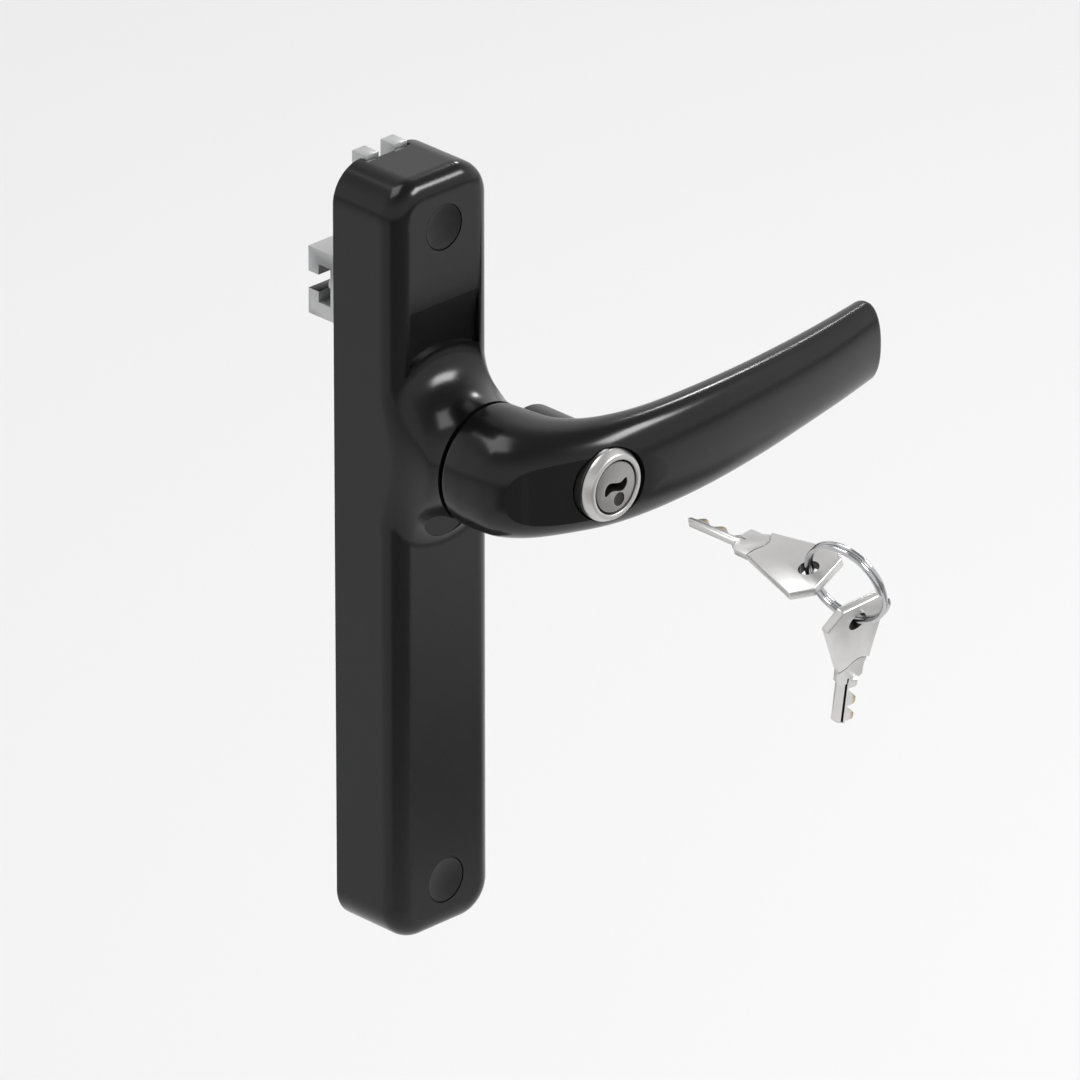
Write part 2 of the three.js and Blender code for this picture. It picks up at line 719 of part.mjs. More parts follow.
// ---- keys -------------------------------------------------------------------
// The key lies in its own XY plane, its tip at y = 0 and its bow towards -y.
// An outline in that plane becomes a flat plate, its edges chamfered by the bevel.
function keyPlate(outline, thickness, bevel) {
  const shape = new THREE.Shape(outline.map(([x, y]) => new THREE.Vector2(x, y)));
  const options = {
    depth: thickness - 2 * bevel,
    bevelEnabled: bevel > 0, bevelThickness: bevel, bevelSize: bevel, bevelOffset: -bevel, bevelSegments: 1,
  };
  const geometry = new THREE.ExtrudeGeometry(shape, options);
  geometry.translate(0, 0, -thickness / 2 + bevel);
  return solid(geometry);
}

function keyBow() {
  const half = BLADE_WIDTH / 2;
  const outline = [
    [half, -BLADE_LENGTH + 1], [3.5, -BLADE_LENGTH - 0.4], [3.6, -17.2], [4.7, -18.4], [7.6, -34.7],
    [5.7, -37.5], [-4.3, -KEY_LENGTH], [-8.1, -35.5], [-3.3, -19], [-3.1, -15],
    [-half, -BLADE_LENGTH - 0.2], [-half, -BLADE_LENGTH + 1],
  ];
  return cut(keyPlate(outline, KEY_THICKNESS, 0.35), post(2, [-2, 2], 20, 0, -KEY_HOLE));
}

// S-shaped blade with two bits, each steep towards the tip and sloping towards the bow.
function keyBlade() {
  const bar = prism(bladeSection(BLADE_WIDTH, BLADE_THICKNESS), [-BLADE_LENGTH - 0.6, 0]);
  const low = 0.1;
  const high = BLADE_WIDTH / 2 + 0.2;
  const clear = BLADE_WIDTH;
  const bitting = [
    [low, 1], [low, -0.8], [high, -1.9], [low, -5.1], [low, -5.6], [high, -7.2],
    [low, -10.5], [low, -11.5], [high, -BLADE_LENGTH + 0.8], [clear, -BLADE_LENGTH + 0.8], [clear, 1],
  ];
  const tip = solid(new THREE.BoxGeometry(4, 4, 4).rotateZ(Math.PI / 4).translate(-3.6, 1.6, 0));
  return cut(bar, keyPlate(bitting, 6, 0), tip);
}

const key = () => join(keyBow(), keyBlade());

// A split ring: two turns of wire lying side by side.
function keyRing() {
  const turns = 1.96;
  const curve = new Coil(RING_RADIUS, RING_PITCH, turns);
  return weld(wire(curve, RING_WIRE_RADIUS, 56, 7));
}

// ---- everything in its place ------------------------------------------------
place('housing', housing(), 'black');
place('back_plate', backPlate(), 'zinc');
Object.entries(PLATE_SCREWS).forEach(([word, [x, z]]) => {
  place(`back_plate_screw_${word}`, plateScrew(), 'steel').position.set(x, 0, z);
});
['upper', 'lower'].forEach((word, i) => {
  place(`fixing_screw_${word}`, fixingScrew(), 'steel').position.z = FIXING_Z[i];
  place(`screw_cap_${word}`, screwCap(), 'black').position.z = FIXING_Z[i];
});

place('neck_bush', neckBush(), 'nylon');
place('friction_washer', frictionWasher(), 'steel');
place('spindle', spindle(), 'steel');
place('spindle_clip', spindleClip(), 'steel');
place('pinion', pinion(), 'zinc');

place('detent_block', detentBlock(), 'nylon');
const detentBall = place('detent_ball', weld(new THREE.SphereGeometry(BALL_RADIUS, 12, 8)), 'steel');
detentBall.position.set(0, DETENT_Y, -BALL_Z);
const detentSpring = place('detent_spring', coil(1.1, 0.28, 11.2, 7, 5), 'steel');
detentSpring.rotation.x = Math.PI / 2;
detentSpring.position.set(0, DETENT_Y, -16.1);

place('rack', rack(), 'zinc');
place('runner_bar', runnerBar(), 'zinc');
['lower', 'upper'].forEach((word, i) => {
  place(`runner_screw_${word}`, runnerScrew(), 'steel').position.z = STUD_Z[i];
});
place('drive_block', driveBlock(), 'zinc');
[['left', -1], ['right', 1]].forEach(([word, side]) => {
  const screw = place(`drive_block_screw_${word}`, blockScrew(), 'steel');
  screw.position.set(side * BLOCK_SCREW_X, 0, BLOCK_MIDDLE);
});

place('lever', lever(), 'black');
const guidePin = post(1, [-11.2, -6.9], 16, 0, GUIDE_PIN_Y);
place('guide_pin', guidePin, 'steel').position.x = LOCK_X;

const lock = groupAt(LOCK_X, inFront(LOCK_FACE), 0);
place('lock_flange', lockFlange(), 'nickel', lock);
place('lock_sleeve', lockSleeve(), 'black', lock);
place('locking_cam', lockingCam(), 'steel', lock);
place('catch_pin', catchPin(), 'steel', lock);
const springLength = 6.2;
const returnSpring = place('return_spring', coil(1.9, 0.3, springLength, 2.5), 'steel', lock);
returnSpring.position.set(SPRING_X, LOCK_FACE - 14.8 - springLength / 2, 0);

const core = groupAt(0, 0, 0, lock);
core.rotation.y = -KEYWAY_ANGLE;
place('lock_plug', lockPlug(), 'nickel', core);
WAFER_Y.forEach((y, i) => place(`wafer_${i + 1}`, wafer(y), 'brass', core));

const firstKey = place('key_1', key(), 'nickel', core);
firstKey.position.y = -KEY_STANDOFF;

// The ring hangs through the first key's hole and carries the second key.
const plateNormal = new THREE.Vector3(-Math.sin(KEYWAY_ANGLE), 0, Math.cos(KEYWAY_ANGLE));
const ringNormal = new THREE.Vector3(0.946, 0.126, 0);
ringNormal.z = -ringNormal.x * plateNormal.x / plateNormal.z;
ringNormal.normalize();
const toRingCentre = new THREE.Vector3().crossVectors(ringNormal, plateNormal);
const firstHole = new THREE.Vector3(LOCK_X, inFront(LOCK_FACE) - KEY_STANDOFF - KEY_HOLE, 0);
const ringCentre = firstHole.clone().addScaledVector(toRingCentre, RING_RADIUS);
const keyRingMesh = place('key_ring', keyRing(), 'chrome');
keyRingMesh.quaternion.setFromRotationMatrix(new THREE.Matrix4().makeBasis(
  toRingCentre.clone(), ringNormal.clone(), new THREE.Vector3().crossVectors(toRingCentre, ringNormal),
));
keyRingMesh.position.copy(ringCentre);

const down = new THREE.Vector3(0, 0, -1);
const toSecondHole = down.addScaledVector(ringNormal, ringNormal.z).normalize();
const secondHole = ringCentre.clone().addScaledVector(toSecondHole, RING_RADIUS);
const secondAlong = new THREE.Vector3(0.258, 0.355, -0.899).normalize();
const secondAcross = new THREE.Vector3(0.966, -0.113, 0.232);
secondAcross.addScaledVector(secondAlong, -secondAcross.dot(secondAlong)).normalize();
const secondKey = place('key_2', key(), 'nickel');
secondKey.quaternion.setFromRotationMatrix(new THREE.Matrix4().makeBasis(
  secondAcross, secondAlong, new THREE.Vector3().crossVectors(secondAcross, secondAlong),
));
secondKey.position.copy(secondHole).addScaledVector(secondAlong, KEY_HOLE);

export default handle;
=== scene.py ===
"""Lockable lever handle with a sliding fork drive, a push-in lock and two keys on a ring."""
import json
import math

import bmesh
import bpy
import numpy as np
from mathutils import Matrix, Vector


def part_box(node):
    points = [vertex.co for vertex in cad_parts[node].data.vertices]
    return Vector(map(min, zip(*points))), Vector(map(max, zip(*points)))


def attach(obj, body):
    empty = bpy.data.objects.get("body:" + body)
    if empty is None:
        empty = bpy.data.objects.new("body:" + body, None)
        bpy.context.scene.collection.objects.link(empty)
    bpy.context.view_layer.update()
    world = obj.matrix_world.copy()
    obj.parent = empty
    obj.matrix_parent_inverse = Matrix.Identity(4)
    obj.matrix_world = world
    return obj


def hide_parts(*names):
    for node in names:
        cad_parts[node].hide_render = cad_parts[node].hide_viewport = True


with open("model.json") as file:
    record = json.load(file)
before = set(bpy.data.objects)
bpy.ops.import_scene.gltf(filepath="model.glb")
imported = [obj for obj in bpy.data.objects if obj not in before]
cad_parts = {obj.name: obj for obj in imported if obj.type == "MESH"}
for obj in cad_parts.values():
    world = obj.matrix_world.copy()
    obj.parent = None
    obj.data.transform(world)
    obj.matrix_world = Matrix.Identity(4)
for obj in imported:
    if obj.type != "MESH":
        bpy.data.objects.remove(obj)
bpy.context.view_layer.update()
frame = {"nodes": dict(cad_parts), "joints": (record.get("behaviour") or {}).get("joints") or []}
MM = 0.001

# ---- camera ---------------------------------------------------------------------------
# The object is seen from its front left and from above, through a very long lens,
# so that upright edges stay parallel.
VIEW_RIGHT = Vector((0.7157, -0.6984, 0.0)).normalized()
VIEW_UP = Vector((0.3007, 0.3081, 0.9026)).normalized()
VIEW_BACK = VIEW_RIGHT.cross(VIEW_UP).normalized()
FRAME_WIDTH = 0.2218
LENS = 550
camera_data = bpy.data.cameras.new("camera")
camera_data.lens = LENS
camera_data.sensor_width = 36
camera_data.clip_end = 60
camera = bpy.data.objects.new("camera", camera_data)
bpy.context.scene.collection.objects.link(camera)
aim = VIEW_RIGHT * 0.0321 - VIEW_UP * 0.0250
distance = FRAME_WIDTH * LENS / camera_data.sensor_width
basis = Matrix((VIEW_RIGHT, VIEW_UP, VIEW_BACK)).transposed().to_4x4()
camera.matrix_world = Matrix.Translation(aim + VIEW_BACK * distance) @ basis
bpy.context.scene.camera = camera
bpy.context.scene.view_settings.view_transform = "Standard"


# ---- studio ---------------------------------------------------------------------------
# A white floor below the handle, an even white surround and soft lamps: a broad box in front
# and above, a large one overhead and a small round one that makes the neck's spark.
FLOOR = -0.22
MAT_LIFT = 1.5 * MM


def studio_floor(half):
    mesh = bpy.data.meshes.new("floor")
    rim = 0.05 * half
    shape = bmesh.new()
    plan = ((-half, -half), (half, -half), (half, half), (-half, half))
    corners = [shape.verts.new((x, y, FLOOR)) for x, y in plan]
    shape.faces.new(corners)
    bmesh.ops.inset_individual(shape, faces=shape.faces[:], thickness=rim)
    shape.to_mesh(mesh)
    shape.free()
    floor = bpy.data.objects.new("floor", mesh)
    bpy.context.scene.collection.objects.link(floor)
    paper = bpy.data.materials.new("floor_paper")
    paper.use_nodes = True
    shader = paper.node_tree.nodes["Principled BSDF"]
    shader.inputs["Base Color"].default_value = (0.74, 0.74, 0.74, 1)
    shader.inputs["Roughness"].default_value = 0.9
    shader.inputs["Specular IOR Level"].default_value = 0.1
    mesh.materials.append(paper)


def lamp(name, direction, distance, size, power, shape="RECTANGLE", height=None):
    data = bpy.data.lights.new(name, "AREA")
    data.shape = shape
    data.size = size
    if height:
        data.size_y = height
    data.energy = power
    towards = Vector(direction).normalized()
    light = bpy.data.objects.new(name, data)
    light.location = towards * distance
    light.rotation_mode = "QUATERNION"
    light.rotation_quaternion = towards.to_track_quat("Z", "Y")
    bpy.context.scene.collection.objects.link(light)


def surround(horizon, zenith):
    """Even white walls that fall off towards a darker ceiling."""
    world = bpy.data.worlds.new("studio")
    world.use_nodes = True
    tree = world.node_tree
    height = tree.nodes.new("ShaderNodeSeparateXYZ")
    tree.links.new(tree.nodes.new("ShaderNodeTexCoord").outputs["Generated"], height.inputs[0])
    fall = tree.nodes.new("ShaderNodeMapRange")
    fall.interpolation_type = "SMOOTHSTEP"
    fall.inputs["From Min"].default_value = 0.35
    fall.inputs["From Max"].default_value = 0.95
    fall.inputs["To Min"].default_value = horizon
    fall.inputs["To Max"].default_value = zenith
    tree.links.new(height.outputs["Z"], fall.inputs["Value"])
    tree.links.new(fall.outputs["Result"], tree.nodes["Background"].inputs["Strength"])
    tree.nodes["Background"].inputs["Color"].default_value = (1, 1, 1, 1)
    bpy.context.scene.world = world


class Field:
    """A value that varies over a surface; sums and products of fields add Math nodes."""

    def __init__(self, finish, socket):
        self.finish = finish
        self.socket = socket

    def combine(self, operation, *others):
        values = {0: self.socket} | {i + 1: getattr(o, "socket", o) for i, o in enumerate(others)}
        return self.finish.node("ShaderNodeMath", {"operation": operation}, values)

    def __add__(self, other):
        return self.combine("ADD", other)

    def __sub__(self, other):
        return self.combine("SUBTRACT", other)

    def __rsub__(self, other):
        return self.combine("MULTIPLY", -1) + other

    def __mul__(self, other):
        return self.combine("MULTIPLY", other)

    __radd__ = __add__
    __rmul__ = __mul__

    def between(self, low, high):
        """0 below low, 1 above high, smooth between."""
        settings = {"interpolation_type": "SMOOTHSTEP"}
        return self.finish.node("ShaderNodeMapRange", settings, {0: self.socket, 1: low, 2: high})


class Finish:
    """A procedural finish: the nodes behind one Principled shader, at real scale in metres."""

    def __init__(self, name, roughness, metallic=0.0, **constants):
        self.material = bpy.data.materials.new(name)
        self.material.use_nodes = True
        self.tree = self.material.node_tree
        self.shader = self.tree.nodes["Principled BSDF"]
        self.set("Roughness", roughness)
        self.set("Metallic", metallic)
        for socket, value in constants.items():
            self.set(socket.replace("_", " "), value)

    def node(self, kind, settings, sockets, output=0):
        made = self.tree.nodes.new(kind)
        for key, value in settings.items():
            setattr(made, key, value)
        for key, value in sockets.items():
            self.feed(made.inputs[key], value)
        return Field(self, made.outputs[output])

    def feed(self, socket, value):
        if isinstance(value, Field):
            value = value.socket
        if isinstance(value, bpy.types.NodeSocket):
            self.tree.links.new(value, socket)
        else:
            socket.default_value = value

    def set(self, socket, value):
        self.feed(self.shader.inputs[socket], value)

    def place(self):
        return self.node("ShaderNodeTexCoord", {}, {}, "Object")

    def noise(self, size, detail=2.0, at=None):
        """Cloudy variation from 0 to 1, about 0.5, in patches of the given size in metres."""
        sockets = {"Vector": at or self.place(), "Scale": 1 / size, "Detail": detail}
        return self.node("ShaderNodeTexNoise", {}, sockets)

    def edges(self, low=0.52, high=0.58):
        """1 on outer edges, where handling rubs, and 0 on flat or hollow surface."""
        return self.node("ShaderNodeNewGeometry", {}, {}, "Pointiness").between(low, high)

    def colour(self, factor, first, second):
        """A mix of two colours, each an (r, g, b) or a field."""
        first, second = (c if isinstance(c, Field) else (*c, 1) for c in (first, second))
        return self.node("ShaderNodeMix", {"data_type": "RGBA"}, {0: factor, 6: first, 7: second}, 2)

    def bump(self, height, depth):
        sockets = {"Height": height, "Distance": depth, "Strength": 1}
        self.set("Normal", self.node("ShaderNodeBump", {}, sockets))


def fading_felt(name, middle, half, near, far):
    """Grey felt whose edges fade out, for a ring sector about the direction middle."""
    finish = Finish(name, 1.0, Base_Color=(0.28, 0.28, 0.28, 1))
    flat = finish.node("ShaderNodeVectorMath", {"operation": "MULTIPLY"}, {0: finish.place(), 1: (1, 1, 0)})
    reach = finish.node("ShaderNodeVectorMath", {"operation": "LENGTH"}, {0: flat}, "Value")
    heading = finish.node("ShaderNodeVectorMath", {"operation": "NORMALIZE"}, {0: flat})
    centre = (math.cos(middle), math.sin(middle), 0)
    both = {0: heading, 1: centre}
    towards = finish.node("ShaderNodeVectorMath", {"operation": "DOT_PRODUCT"}, both, "Value")
    sides = towards.between(math.cos(half), math.cos(half * 0.72))
    ends = reach.between(near, near * 1.35) * reach.between(far, far * 0.7)
    finish.set("Alpha", sides * ends)
    return finish.material


def dark_mat(name, start, end, near, far):
    """A ring sector lying on the floor that only reflections show: it keeps the black deep."""
    steps = 24
    start, end = math.radians(start), math.radians(end)
    points = []
    for i in range(steps + 1):
        angle = start + (end - start) * i / steps
        points += [(r * math.cos(angle), r * math.sin(angle), FLOOR + MAT_LIFT) for r in (near, far)]
    faces = [(2 * i, 2 * i + 1, 2 * i + 3, 2 * i + 2) for i in range(steps)]
    mesh = bpy.data.meshes.new(name)
    mesh.from_pydata(points, [], faces)
    mesh.materials.append(fading_felt(f"{name}_felt", (start + end) / 2, (end - start) / 2, near, far))
    mat = bpy.data.objects.new(name, mesh)
    bpy.context.scene.collection.objects.link(mat)
    mat.visible_camera = False
    mat.visible_diffuse = False
    mat.visible_shadow = False
    mat.visible_transmission = False


studio_floor(12)
surround(0.90, 0.30)
lamp("front_box", (0.47, -0.56, 0.68), 1.5, 0.72, 14, height=0.36)
lamp("top_fill", (-0.22, 0.30, 0.93), 2.2, 1.45, 18, height=1.10)
lamp("round_lamp", (0.70, 0.36, 0.60), 1.5, 0.14, 2.0, "DISK")
dark_mat("side_mat", -168, -52, 0.24, 2.4)
dark_mat("near_mat", -62, -16, 0.22, 0.42)


# ---- housing --------------------------------------------------------------------------
# A die-cast zinc box, open at the rear, whose round neck flares out of the front face. It is
# gloss black lacquer over the casting, and two screws under the caps hold it to the sash.
def black_lacquer():
    finish = Finish("black_lacquer", 0.2, IOR=1.4)
    cloud = finish.noise(0.012)
    rub = finish.edges()
    deep, rubbed = (0.0030, 0.0030, 0.0032), (0.0070, 0.0070, 0.0075)
    finish.set("Base Color", finish.colour(rub * 0.5 + cloud * 0.3, deep, rubbed))
    finish.set("Roughness", 0.15 + cloud * 0.09 + rub * 0.06)
    finish.bump(finish.noise(0.0016, 3.0), 0.000004)
    return finish.material


LACQUER = black_lacquer()


def piece(name, vertices, faces, material, at=None):
    """A smooth-shaded mesh object; vertices in metres."""
    mesh = bpy.data.meshes.new(name)
    mesh.from_pydata([tuple(v) for v in vertices], [], [tuple(f) for f in faces])
    shape = bmesh.new()
    shape.from_mesh(mesh)
    bmesh.ops.remove_doubles(shape, verts=shape.verts, dist=1e-7)
    bmesh.ops.recalc_face_normals(shape, faces=shape.faces)
    shape.to_mesh(mesh)
    shape.free()
    mesh.materials.append(material)
    made = bpy.data.objects.new(name, mesh)
    if at is not None:
        made.matrix_world = at
    bpy.context.scene.collection.objects.link(made)
    return made


def crease(made, degrees=30):
    """Smooth shading that stays sharp where faces meet at more than this angle."""
    shape = bmesh.new()
    shape.from_mesh(made.data)
    for face in shape.faces:
        face.smooth = True
    for edge in shape.edges:
        edge.smooth = len(edge.link_faces) == 2 and edge.calc_face_angle(0) < math.radians(degrees)
    shape.to_mesh(made.data)
    shape.free()
    return made


def true_normals(made, distance_of, degrees):
    """Shades the faces that lie on a distance function's zero level with its own slope."""
    mesh = made.data
    corner = np.empty(len(mesh.loops), np.int32)
    mesh.loops.foreach_get("vertex_index", corner)
    place = np.empty(len(mesh.vertices) * 3, np.float32)
    mesh.vertices.foreach_get("co", place)
    place = place.reshape(-1, 3).astype(float)
    value = distance_of(place)
    nudge = 1e-6
    slope = np.stack([distance_of(place + nudge * e) - value for e in np.eye(3)], -1)
    slope /= np.maximum(np.linalg.norm(slope, axis=-1, keepdims=True), 1e-12)
    normals = np.empty(len(mesh.loops) * 3, np.float32)
    mesh.corner_normals.foreach_get("vector", normals)
    normals = normals.reshape(-1, 3)
    flat = np.empty(len(mesh.polygons) * 3, np.float32)
    mesh.polygons.foreach_get("normal", flat)
    sides = np.empty(len(mesh.polygons), np.int32)
    mesh.polygons.foreach_get("loop_total", sides)
    flat = np.repeat(flat.reshape(-1, 3), sides, axis=0)
    slope, value = slope[corner], value[corner]
    on_skin = (np.abs(value) < 0.01 * MM) & ((flat * slope).sum(-1) > math.cos(math.radians(degrees)))
    normals[on_skin] = slope[on_skin]
    mesh.normals_split_custom_set(normals.tolist())
    return made


def settle(made):
    """Replaces the piece's mesh by what its modifiers make of it."""
    graph = bpy.context.evaluated_depsgraph_get()
    final = bpy.data.meshes.new_from_object(made.evaluated_get(graph))
    made.modifiers.clear()
    made.data = final
    return made


def carve(made, cutters, operation="DIFFERENCE"):
    """Cuts or joins closed solids, one after another, then deletes them."""
    for cutter in cutters:
        step = made.modifiers.new("carve", "BOOLEAN")
        step.operation = operation
        step.object = cutter
        step.solver = "MANIFOLD"
        settle(made)
        bpy.data.objects.remove(cutter)
    return made


def soften(made, width, degrees=35, segments=2):
    """Small round edges, as a casting or a tumbled piece has."""
    step = made.modifiers.new("soften", "BEVEL")
    step.width = width
    step.segments = segments
    step.limit_method = "ANGLE"
    step.angle_limit = math.radians(degrees)
    step.use_clamp_overlap = True
    return settle(made)


def slab(x, y, z, material=None, name="slab"):
    corners = [(i, j, k) for i in x for j in y for k in z]
    faces = [(0, 1, 3, 2), (4, 6, 7, 5), (0, 4, 5, 1), (2, 3, 7, 6), (0, 2, 6, 4), (1, 5, 7, 3)]
    return piece(name, corners, faces, material or LACQUER)


def turned(name, profile, material=None, centre=(0, 0), steps=96):
    """A shape turned about a line along Y, from (radius, y) points that start and end on it."""
    ends = [profile[0][1], profile[-1][1]]
    rings = [(r, y) for r, y in profile if r > 0]
    vertices = [(centre[0], ends[0], centre[1]), (centre[0], ends[1], centre[1])]
    for r, y in rings:
        for i in range(steps):
            angle = 2 * math.pi * i / steps
            vertices.append((centre[0] + r * math.cos(angle), y, centre[1] + r * math.sin(angle)))
    faces = []
    last = 2 + (len(rings) - 1) * steps
    for i in range(steps):
        j = (i + 1) % steps
        for k in range(len(rings) - 1):
            a = 2 + k * steps
            faces.append((a + i, a + j, a + steps + j, a + steps + i))
        faces.append((0, 2 + j, 2 + i))
        faces.append((1, last + i, last + j))
    return piece(name, vertices, faces, material or LACQUER)


def bar(radius, y, centre=(0, 0), steps=96):
    return turned("bar", [(0, y[0]), (radius, y[0]), (radius, y[1]), (0, y[1])], None, centre, steps)


def prism(name, first, last, material=None):
    """A solid between two outlines of as many points each."""
    count = len(first)
    faces = [tuple(range(count)), tuple(range(2 * count - 1, count - 1, -1))]
    faces += [(i, (i + 1) % count, count + (i + 1) % count, count + i) for i in range(count)]
    return piece(name, [*first, *last], faces, material or LACQUER)


def extruded(name, outline, y, material=None):
    """An outline of (x, z) points carried along Y."""
    ends = [[(px, end, pz) for px, pz in outline] for end in y]
    return prism(name, *ends, material)


housing_low, housing_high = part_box("housing")
HALF_WIDTH = housing_high.x
BODY_TOP = housing_high.z
BODY_BOTTOM = housing_low.z
NECK_END = housing_low.y
NECK_HEIGHT = 11.7 * MM
FRONT = NECK_END + NECK_HEIGHT
NECK_RADIUS = 13.2 * MM
NECK_FOOT = 22.4 * MM
EDGE_RADIUS = 4.5 * MM
CORNER_RADIUS = 8 * MM
FIXING_Z = [sum(c.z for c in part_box(f"screw_cap_{word}")) / 2 for word in ("upper", "lower")]
lock_low, lock_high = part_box("lock_flange")
LOCK_X = (lock_low.x + lock_high.x) / 2
LOCK_FACE = lock_low.y


def housing_distance(p):
    """Signed distance to the housing's smooth outer skin, for an array of points."""
    x, y, z = p[..., 0], p[..., 1], p[..., 2]
    middle = (BODY_TOP + BODY_BOTTOM) / 2
    half_height = (BODY_TOP - BODY_BOTTOM) / 2
    qx = np.abs(x) - HALF_WIDTH + CORNER_RADIUS
    qz = np.abs(z - middle) - half_height + CORNER_RADIUS
    past_corner = np.hypot(np.maximum(qx, 0), np.maximum(qz, 0))
    outline = past_corner + np.minimum(np.maximum(qx, qz), 0) - CORNER_RADIUS
    proud = FRONT - y

    def rounded(a, b, radius):
        past_edge = np.hypot(np.maximum(a + radius, 0), np.maximum(b + radius, 0))
        return np.minimum(-radius, np.maximum(a, b)) + past_edge

    body = rounded(outline, proud, EDGE_RADIUS)
    flare = NECK_FOOT - NECK_RADIUS
    u = np.maximum(NECK_FOOT - np.hypot(x, z), 0) / flare
    v = np.clip((NECK_HEIGHT - proud) / NECK_HEIGHT, 0, None)
    g = np.maximum(np.hypot(u, v), 1e-6)
    slope = np.maximum(np.hypot(u / flare, v / NECK_HEIGHT) / g, 1 / NECK_FOOT)
    neck = (1 - g) / slope
    rise = np.clip(proud / NECK_HEIGHT, 0, 1)
    fade = rise * rise * (3 - 2 * rise)
    neck = rounded(neck, np.abs(x) - HALF_WIDTH, EDGE_RADIUS * (1 - fade) + 0.3 * MM)
    neck = np.maximum(neck, np.hypot(x, z) - NECK_FOOT - 0.5 * MM)
    return np.minimum(body, neck)


def skin(distance_of, low, high, step):
    """Quads over the zero level of a distance function, each vertex moved onto the level."""
    axes = [np.arange(a, b + step, step) for a, b in zip(low, high)]
    grid = np.stack(np.meshgrid(*axes, indexing="ij"), -1)
    inside = distance_of(grid) < 0
    cells = [n - 1 for n in inside.shape]
    corner_sum = np.zeros(cells, int)
    for i in (0, 1):
        for j in (0, 1):
            for k in (0, 1):
                corner_sum += inside[i:cells[0] + i, j:cells[1] + j, k:cells[2] + k]
    crossing = (corner_sum > 0) & (corner_sum < 8)
    number = np.full(cells, -1)
    number[crossing] = np.arange(crossing.sum())
    points = grid[:-1, :-1, :-1][crossing] + step / 2
    for _ in range(6):
        value = distance_of(points)
        nudge = 1e-6
        slope = np.stack([distance_of(points + nudge * e) - value for e in np.eye(3)], -1) / nudge
        points = points - slope * (value / np.maximum((slope ** 2).sum(-1), 0.05))[:, None]
    faces = []
    for axis in range(3):
        a = [slice(None)] * 3
        b = [slice(None)] * 3
        a[axis], b[axis] = slice(0, -1), slice(1, None)
        first, second = inside[tuple(a)], inside[tuple(b)]
        spots = np.argwhere(first != second)
        flip = first[first != second]
        o1, o2 = np.eye(3, dtype=int)[(axis + 1) % 3], np.eye(3, dtype=int)[(axis + 2) % 3]
        ring = [spots - o1 - o2, spots - o2, spots, spots - o1]
        quads = np.stack([number[tuple(c.T)] for c in ring], -1)
        quads[~flip] = quads[~flip][:, ::-1]
        faces.append(quads)
    return points, np.concatenate(faces)


def housing():
    margin = 1.2 * MM
    depth_behind = 3 * MM
    low = (-HALF_WIDTH - margin, NECK_END - 3 * MM, BODY_BOTTOM - margin)
    high = (HALF_WIDTH + margin, depth_behind, BODY_TOP + margin)

    def closed(p):
        ends = np.maximum(p[..., 1] - 2 * MM, NECK_END - 1.5 * MM - p[..., 1])
        return np.maximum(housing_distance(p), ends)

    points, faces = skin(closed, low, high, 0.62 * MM)
    made = piece("housing_shell", points, faces, LACQUER)
    wide = 0.1
    carve(made, [slab((-wide, wide), (0, wide), (-wide * 2, wide))])
    carve(made, [slab((-wide, wide), (-wide, NECK_END), (-wide * 2, wide))])
    return made


shell = housing()


def front_scoop():
    """Long hollow across the front face, above the neck; it has a sharp upper edge."""
    radius = 60 * MM
    depth = 0.9 * MM
    top_edge = 32.4 * MM
    half = 9.8 * MM
    reach = math.sqrt(radius ** 2 - (radius - depth) ** 2)
    centre_y, centre_z = FRONT + depth - radius, top_edge - reach
    steps = 90
    arc = []
    for i in range(steps + 1):
        angle = math.radians(-14 + 28 * i / steps)
        arc.append((centre_y + radius * math.cos(angle), centre_z + radius * math.sin(angle)))
    clear = FRONT - 8 * MM
    arc += [(clear, arc[-1][1]), (clear, arc[0][1])]
    return prism("scoop", *[[(side * half, y, z) for y, z in arc] for side in (-1, 1)])


def neck_guard():
    """The flared neck as a solid, which the scoop must not cut."""
    steps = 40
    flare = NECK_FOOT - NECK_RADIUS
    profile = [(0, FRONT + 5 * MM), (NECK_FOOT, FRONT + 5 * MM)]
    for i in range(steps + 1):
        angle = i / steps * math.pi / 2
        profile.append((NECK_FOOT - flare * math.sin(angle), FRONT - NECK_HEIGHT * (1 - math.cos(angle))))
    profile.append((0, NECK_END))
    return turned("neck_guard", profile, steps=128)


def lock_pocket(centre):
    """Round pocket for the nose of the lock, beside the neck's inner wall."""
    floor = FRONT - 0.4 * MM
    pocket = bar(8.9 * MM, (NECK_END - 1 * MM, floor), centre)
    return carve(pocket, [bar(9.4 * MM, (NECK_END - 2 * MM, floor + 1 * MM))])


def screw_well(z):
    """Wide for the cap, narrower for the screw's head, then for its shank."""
    cap, head, shank = 5.06, 4.3, 2.2
    profile = [(0, -1), (cap, -1), (cap, 2.2), (head, 2.2)]
    profile += [(head, 3.6), (shank, 5.8), (shank, 19.2), (0, 19.2)]
    return turned("well", [(r * MM, FRONT + y * MM) for r, y in profile], None, (0, z))


scoop = carve(front_scoop(), [neck_guard()])
carve(shell, [scoop, bar(7.9 * MM, (NECK_END - 1 * MM, FRONT + 4 * MM))])
carve(shell, [lock_pocket((LOCK_X, 0)), lock_pocket((0, -LOCK_X))])
carve(shell, [screw_well(z) for z in FIXING_Z])
inner = HALF_WIDTH - 2.4 * MM
cavity_y = (FRONT + 2.5 * MM, -1 * MM)
plate_low, plate_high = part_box("back_plate")
GEAR_CHAMBER = (-34 * MM, 41 * MM)
LOWER_CHAMBER = (-90 * MM, -39 * MM)
carve(shell, [slab((-inner, inner), cavity_y, z) for z in (GEAR_CHAMBER, LOWER_CHAMBER)])


